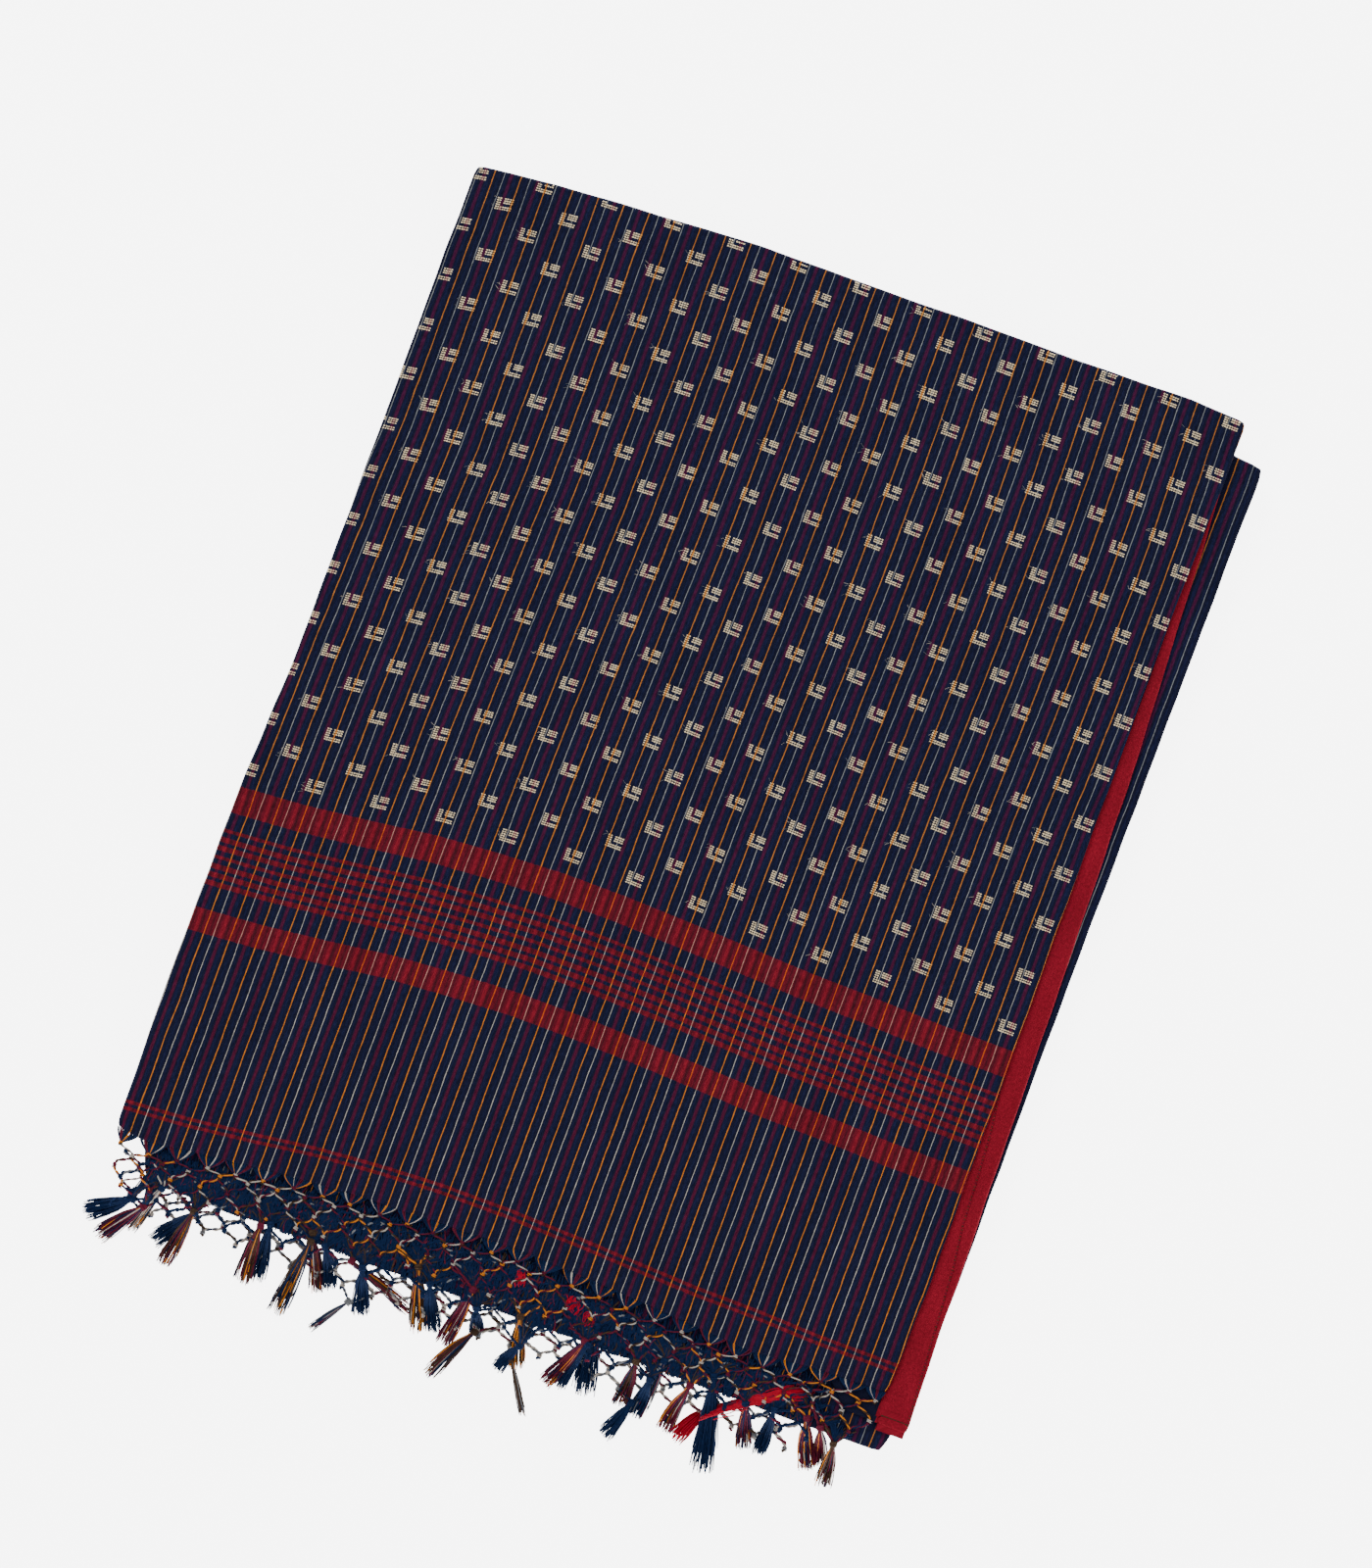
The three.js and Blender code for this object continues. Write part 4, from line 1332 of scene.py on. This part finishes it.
# %% Tassels
TASSELS = [
    ("upper_01", -143.1, -204.7, -155.4, -213.4, "navy", "navy", 3.0, 54),
    ("upper_02", -138.0, -207.0, -147.9, -220.1, "maroon", "navy", 2.8, 54),
    ("upper_02", -132.8, -198.6, -138.4, -213.6, "navy", "white", 2.4, 44),
    ("upper_03", -119.5, -202.3, -128.4, -214.6, "navy", "navy", 2.8, 54),
    ("upper_03", -118.6, -203.2, -122.2, -221.5, "olive", "maroon", 2.6, 50),
    ("upper_04", -93.2, -199.5, -92.9, -217.6, "maroon", "olive", 3.2, 60),
    ("upper_04", -89.8, -197.5, -88.1, -215.0, "navy", "navy", 2.6, 50),
    ("upper_05", -74.9, -199.8, -77.5, -223.2, "olive", "navy", 3.0, 60),
    ("upper_06", -73.2, -195.0, -66.4, -211.4, "olive", "maroon", 2.4, 44),
    ("upper_06", -67.6, -196.9, -62.3, -209.1, "navy", "navy", 2.4, 44),
    ("upper_07", -52.5, -199.9, -48.9, -213.8, "navy", "navy", 2.8, 54),
    ("upper_08", -53.2, -198.0, -32.6, -206.6, "maroon", "olive", 2.0, 36),
    ("upper_09", -33.0, -193.8, -26.8, -212.4, "olive", "orange", 2.8, 54),
    ("upper_09", -27.1, -197.0, -21.4, -210.4, "navy", "navy", 2.6, 50),
    ("upper_10", -13.7, -194.7, -16.9, -213.5, "maroon", "maroon", 2.6, 50),
    ("upper_11", -9.0, -198.4, -6.5, -206.9, "navy", "navy", 2.4, 40),
    ("upper_12", 7.4, -197.1, 11.2, -212.6, "olive", "orange", 2.6, 50),
    ("upper_12", 9.0, -206.4, 4.8, -215.5, "navy", "navy", 2.4, 40),
    ("upper_13", 29.9, -197.5, 23.0, -213.6, "maroon", "maroon", 2.6, 50),
    ("upper_13", 32.1, -198.2, 28.3, -213.6, "navy", "navy", 2.4, 44),
    ("upper_14", 34.5, -191.8, 37.3, -212.4, "navy", "navy", 3.6, 72),
    ("upper_15", 51.5, -197.7, 51.4, -211.9, "olive", "maroon", 2.6, 50),
    ("upper_16", 58.3, -201.7, 57.5, -213.7, "navy", "navy", 2.6, 46),
    ("upper_16", 60.5, -194.9, 58.2, -213.9, "navy", "grey", 2.8, 54),
    ("upper_17", 72.2, -199.3, 69.3, -214.9, "maroon", "orange", 2.8, 54),
    ("upper_18", 81.2, -195.9, 87.6, -223.5, "navy", "navy", 3.8, 84),
    ("upper_19", 95.0, -198.0, 99.1, -211.1, "navy", "maroon", 2.6, 50),
    ("upper_20", 104.6, -196.7, 104.9, -211.1, "navy", "navy", 2.6, 50),
    ("upper_21", 118.0, -195.5, 123.5, -210.2, "maroon", "orange", 2.8, 54),
    ("upper_22", 123.3, -196.3, 127.0, -207.4, "maroon", "maroon", 2.4, 44),
    ("upper_23", 129.3, -200.7, 131.0, -213.9, "olive", "maroon", 2.8, 54),
    ("lower_01", -55.8, -213.7, -63.7, -224.9, "grey", "navy", 1.2, 22),
    ("lower_02", -9.0, -209.3, -17.7, -226.0, "olive", "maroon", 2.4, 44),
    ("lower_03", 10.8, -213.4, 19.5, -227.8, "olive", "grey", 1.2, 22),
    ("lower_04", 54.4, -212.6, 50.0, -224.5, "navy", "navy", 2.6, 46),
    ("lower_05", 80.9, -204.8, 74.4, -216.6, "red", "red", 2.6, 50),
]
STRAY_SHADES = ["navy", "navy", "orange", "white", "maroon", "olive"]
# The heads lie this much further in than the table has them, so that they reach the nets.
LENGTHEN = 1.22
# The bunches are this much wider than the table has them, with this many times the threads.
FULLNESS, THREAD_SHARE = 1.35, 1.5
THREAD_THICK, THREAD_THIN, THREAD_STEPS = 0.24, 0.15, 7
HEAD_LENGTH, HEAD_SIZE, HEAD_TURNS, HEAD_STEPS = 2.4, 1.25, 3.6, 24
LOWER_HEAD_HEIGHT, TIP_HEIGHT = 1.9, 0.9
# Right of this the upper net alone carries the tassels.
UNDER_RIGHT = 112
FEEDERS, FEEDER_REACH, FEEDER_LEFT, FEEDER_STEPS = 48, 6.4, -138.0, 5


def tassel_runs(head, tip, shades, width, threads, rng):
    """The runs of one tassel: its threads and the wound head."""
    runs = []
    way = tip - head
    side = Vector((-way.y, way.x, 0)).normalized()
    sway = rng.uniform(-1.1, 1.1)
    main_share = 0.82 if shades[1] == "orange" else 0.55
    for _ in range(int(threads * THREAD_SHARE)):
        angle, out = rng.uniform(0, 2 * math.pi), math.sqrt(rng.uniform(0, 1))
        reach = rng.uniform(0.84, 1.07) - 0.08 * out * rng.random()
        wander = rng.uniform(-1.3, 1.3)
        points, radii = [], []
        for k in range(THREAD_STEPS + 1):
            t = k / THREAD_STEPS
            belly = lerp(0.3, 1.25, smooth(t * 2.2)) * lerp(1.0, 1.5, smooth(t * 1.6 - 0.6))
            spread = FULLNESS * width / 2 * belly * out
            point = head + way * (t * reach)
            point += side * (spread * math.cos(angle) + (sway + wander * t) * math.sin(math.pi * t)
                             * 0.5)
            drop = lerp(head.z, tip.z, smooth(min(1.0, t * 1.35)))
            point.z = max(drop + 0.55 * spread * math.sin(angle), 0.35)
            points.append(point)
            radii.append(lerp(THREAD_THICK, THREAD_THIN, t))
        shade = shades[0] if rng.random() < main_share else shades[1]
        if shades != ("navy", "navy") and shades[0] != "red" and rng.random() < 0.4:
            shade = rng.choice(STRAY_SHADES)
        runs.append((points, radii, shade))
    binding = []
    for k in range(HEAD_STEPS + 1):
        angle = 2 * math.pi * HEAD_TURNS * k / HEAD_STEPS
        along = (k / HEAD_STEPS - 0.5) * HEAD_LENGTH
        size = HEAD_SIZE * math.sqrt(max(0.05, 1 - (along / 1.9) ** 2))
        binding.append(head + way.normalized() * along + side * (size * math.cos(angle))
                       + Vector((0, 0, size * math.sin(angle) * 0.8)))
    runs.append((binding, 0.42, shades[0]))
    return runs


def feeder_runs(head, rng):
    """The loose yarn of the layers below that is gathered into a tassel's head."""
    runs = []
    for _ in range(FEEDERS):
        x = max(head.x + rng.uniform(-FEEDER_REACH, FEEDER_REACH), FEEDER_LEFT + rng.uniform(0, 6))
        y = max(head.y + 6, -192) + rng.uniform(-2, 2)
        start = Vector((x, y, 14.3 + rng.uniform(0, 0.5)))
        side, bow = rng.uniform(-0.7, 0.7), rng.uniform(-0.6, 0.6)
        points = []
        for k in range(FEEDER_STEPS + 1):
            t = k / FEEDER_STEPS
            point = start.lerp(head, t)
            pull = 1 - (1 - t) ** 1.6
            point.x = lerp(start.x, head.x + side, pull) + bow * math.sin(math.pi * t)
            point.z = lerp(start.z, head.z, t * t)
            points.append(point)
        shade = "navy" if rng.random() < 0.8 else "olive"
        runs.append((points, THREAD_THICK, shade))
    return runs


def cord_anchors(table, head):
    """The knots that a tassel hangs from: the nearest two that lie further in."""
    near = [knot for row in table for knot in row if 2.0 < knot.y - head.y < 11]
    near = sorted(near, key=lambda knot: (knot.xy - head.xy).length)
    return near[:2]


def tassels():
    """All the tassels, one piece for each CAD node."""
    rng = random.Random(5)
    pieces = {}
    for node, x, y, tip_x, tip_y, shade, other, width, threads in TASSELS:
        x, y = lerp(tip_x, x, LENGTHEN), lerp(tip_y, y, LENGTHEN)
        is_upper = node.startswith("upper")
        table = under_knots if is_upper else lower_knots
        if is_upper and (rng.random() < 0.5 or x > UNDER_RIGHT):
            table = upper_knots
        z = max(upper_height(x, y), 2.0) + 0.3 if is_upper else LOWER_HEAD_HEIGHT
        head = Vector((x, y, z))
        tip = Vector((tip_x, tip_y, TIP_HEIGHT))
        runs = pieces.setdefault(node, [])
        runs += tassel_runs(head, tip, (shade, other), width, threads, rng)
        if is_upper:
            runs += feeder_runs(head, rng)
        for anchor in cord_anchors(table, head):
            runs += twisted(anchor, head, (shade, other), 0.34, turns=1.8, steps=10,
                            bend=rng.uniform(-0.4, 0.4))
    return {node: yarn_piece(f"tassel_{node}_threads", runs) for node, runs in pieces.items()}


tassel_pieces = tassels()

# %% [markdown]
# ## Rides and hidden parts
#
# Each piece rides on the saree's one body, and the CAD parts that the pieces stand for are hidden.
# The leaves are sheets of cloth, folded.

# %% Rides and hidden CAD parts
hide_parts("hidden_turns")
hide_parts("body_leaf")
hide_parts("border_leaf")
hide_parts("border_hem")
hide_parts("pallu_leaf")
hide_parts("net_upper")
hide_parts("net_lower")
for node, piece in tassel_pieces.items():
    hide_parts(f"tassel_{node}")

SLOTS = {
    "indigo_cotton": [hidden, body, pallu, motifs, tails],
    "red_cotton": [border, hem, strip, stitches, red_fringe],
    "net_yarn": [gathers, net_upper, net_under, net_lower, loose_yarn],
    "tassel_yarn": list(tassel_pieces.values()),
}
for slot, pieces in SLOTS.items():
    for piece in pieces:
        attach(piece, "root")

# %% [markdown]
# ## Floor, lights and camera
#
# The photo is a cut-out on white, seen from straight above and turned by 20 degrees. The light
# is soft and even, so the floor has only a faint shadow. The floor lies a hair below the cloth,
# so the two faces don't flicker, and it is clear from below, so the underside can be looked at.

# %% Floor and world
FLOOR_GAP = 0.2 * MM
bpy.ops.mesh.primitive_plane_add(size=6, location=(0, 0, -FLOOR_GAP))
floor = bpy.context.object
floor.name = "floor"
floor_finish, floor_tree, floor_shader = new_finish("white paper floor")
floor_shader.inputs["Base Color"].default_value = (0.93, 0.93, 0.93, 1)
floor_shader.inputs["Roughness"].default_value = 0.9
floor_shader.inputs["Emission Color"].default_value = (1, 1, 1, 1)
floor_shader.inputs["Emission Strength"].default_value = 6.0
floor_side = add(floor_tree, "ShaderNodeNewGeometry")
floor_clear = add(floor_tree, "ShaderNodeBsdfTransparent")
floor_mix = add(floor_tree, "ShaderNodeMixShader", {0: floor_side.outputs["Backfacing"],
                                                    1: floor_shader.outputs[0],
                                                    2: floor_clear.outputs[0]})
floor_tree.links.new(floor_mix.outputs[0], floor_tree.nodes["Material Output"].inputs[0])
floor.data.materials.append(floor_finish)

world = bpy.data.worlds.new("soft daylight")
world.use_nodes = True
sky = world.node_tree.nodes["Background"]
sky.inputs["Color"].default_value = (0.96, 0.98, 1.0, 1)
sky.inputs["Strength"].default_value = 0.55
bpy.context.scene.world = world

# %% Lights and camera
LIGHTS = [("key softbox", (-1.1, 1.3, 1.9), 1.2, 34), ("fill softbox", (1.4, -0.6, 1.7), 1.4, 15),
          ("near softbox", (-0.2, -1.8, 1.3), 1.2, 10)]
for name, place, size, power in LIGHTS:
    data = bpy.data.lights.new(name, "AREA")
    data.size = size
    data.energy = power
    light = linked(name, data)
    light.location = place
    light.rotation_euler = (-Vector(place)).to_track_quat("-Z", "Y").to_euler()

PHOTO_TURN = 20.3
VIEW_HEIGHT = 0.568
CAMERA_AWAY = 3.0
SENSOR = 36
MIDDLE_X, MIDDLE_Y, STACK_TOP = -1.3, 21.3, 18
camera_data = bpy.data.cameras.new("photo camera")
camera_data.sensor_fit = "VERTICAL"
camera_data.sensor_width = SENSOR
camera_data.sensor_height = SENSOR
camera_data.lens = SENSOR * CAMERA_AWAY / VIEW_HEIGHT
camera = linked("photo camera", camera_data)
camera.location = (MIDDLE_X * MM, MIDDLE_Y * MM, CAMERA_AWAY + STACK_TOP * MM)
camera.rotation_euler = (0, 0, math.radians(PHOTO_TURN))
bpy.context.scene.camera = camera
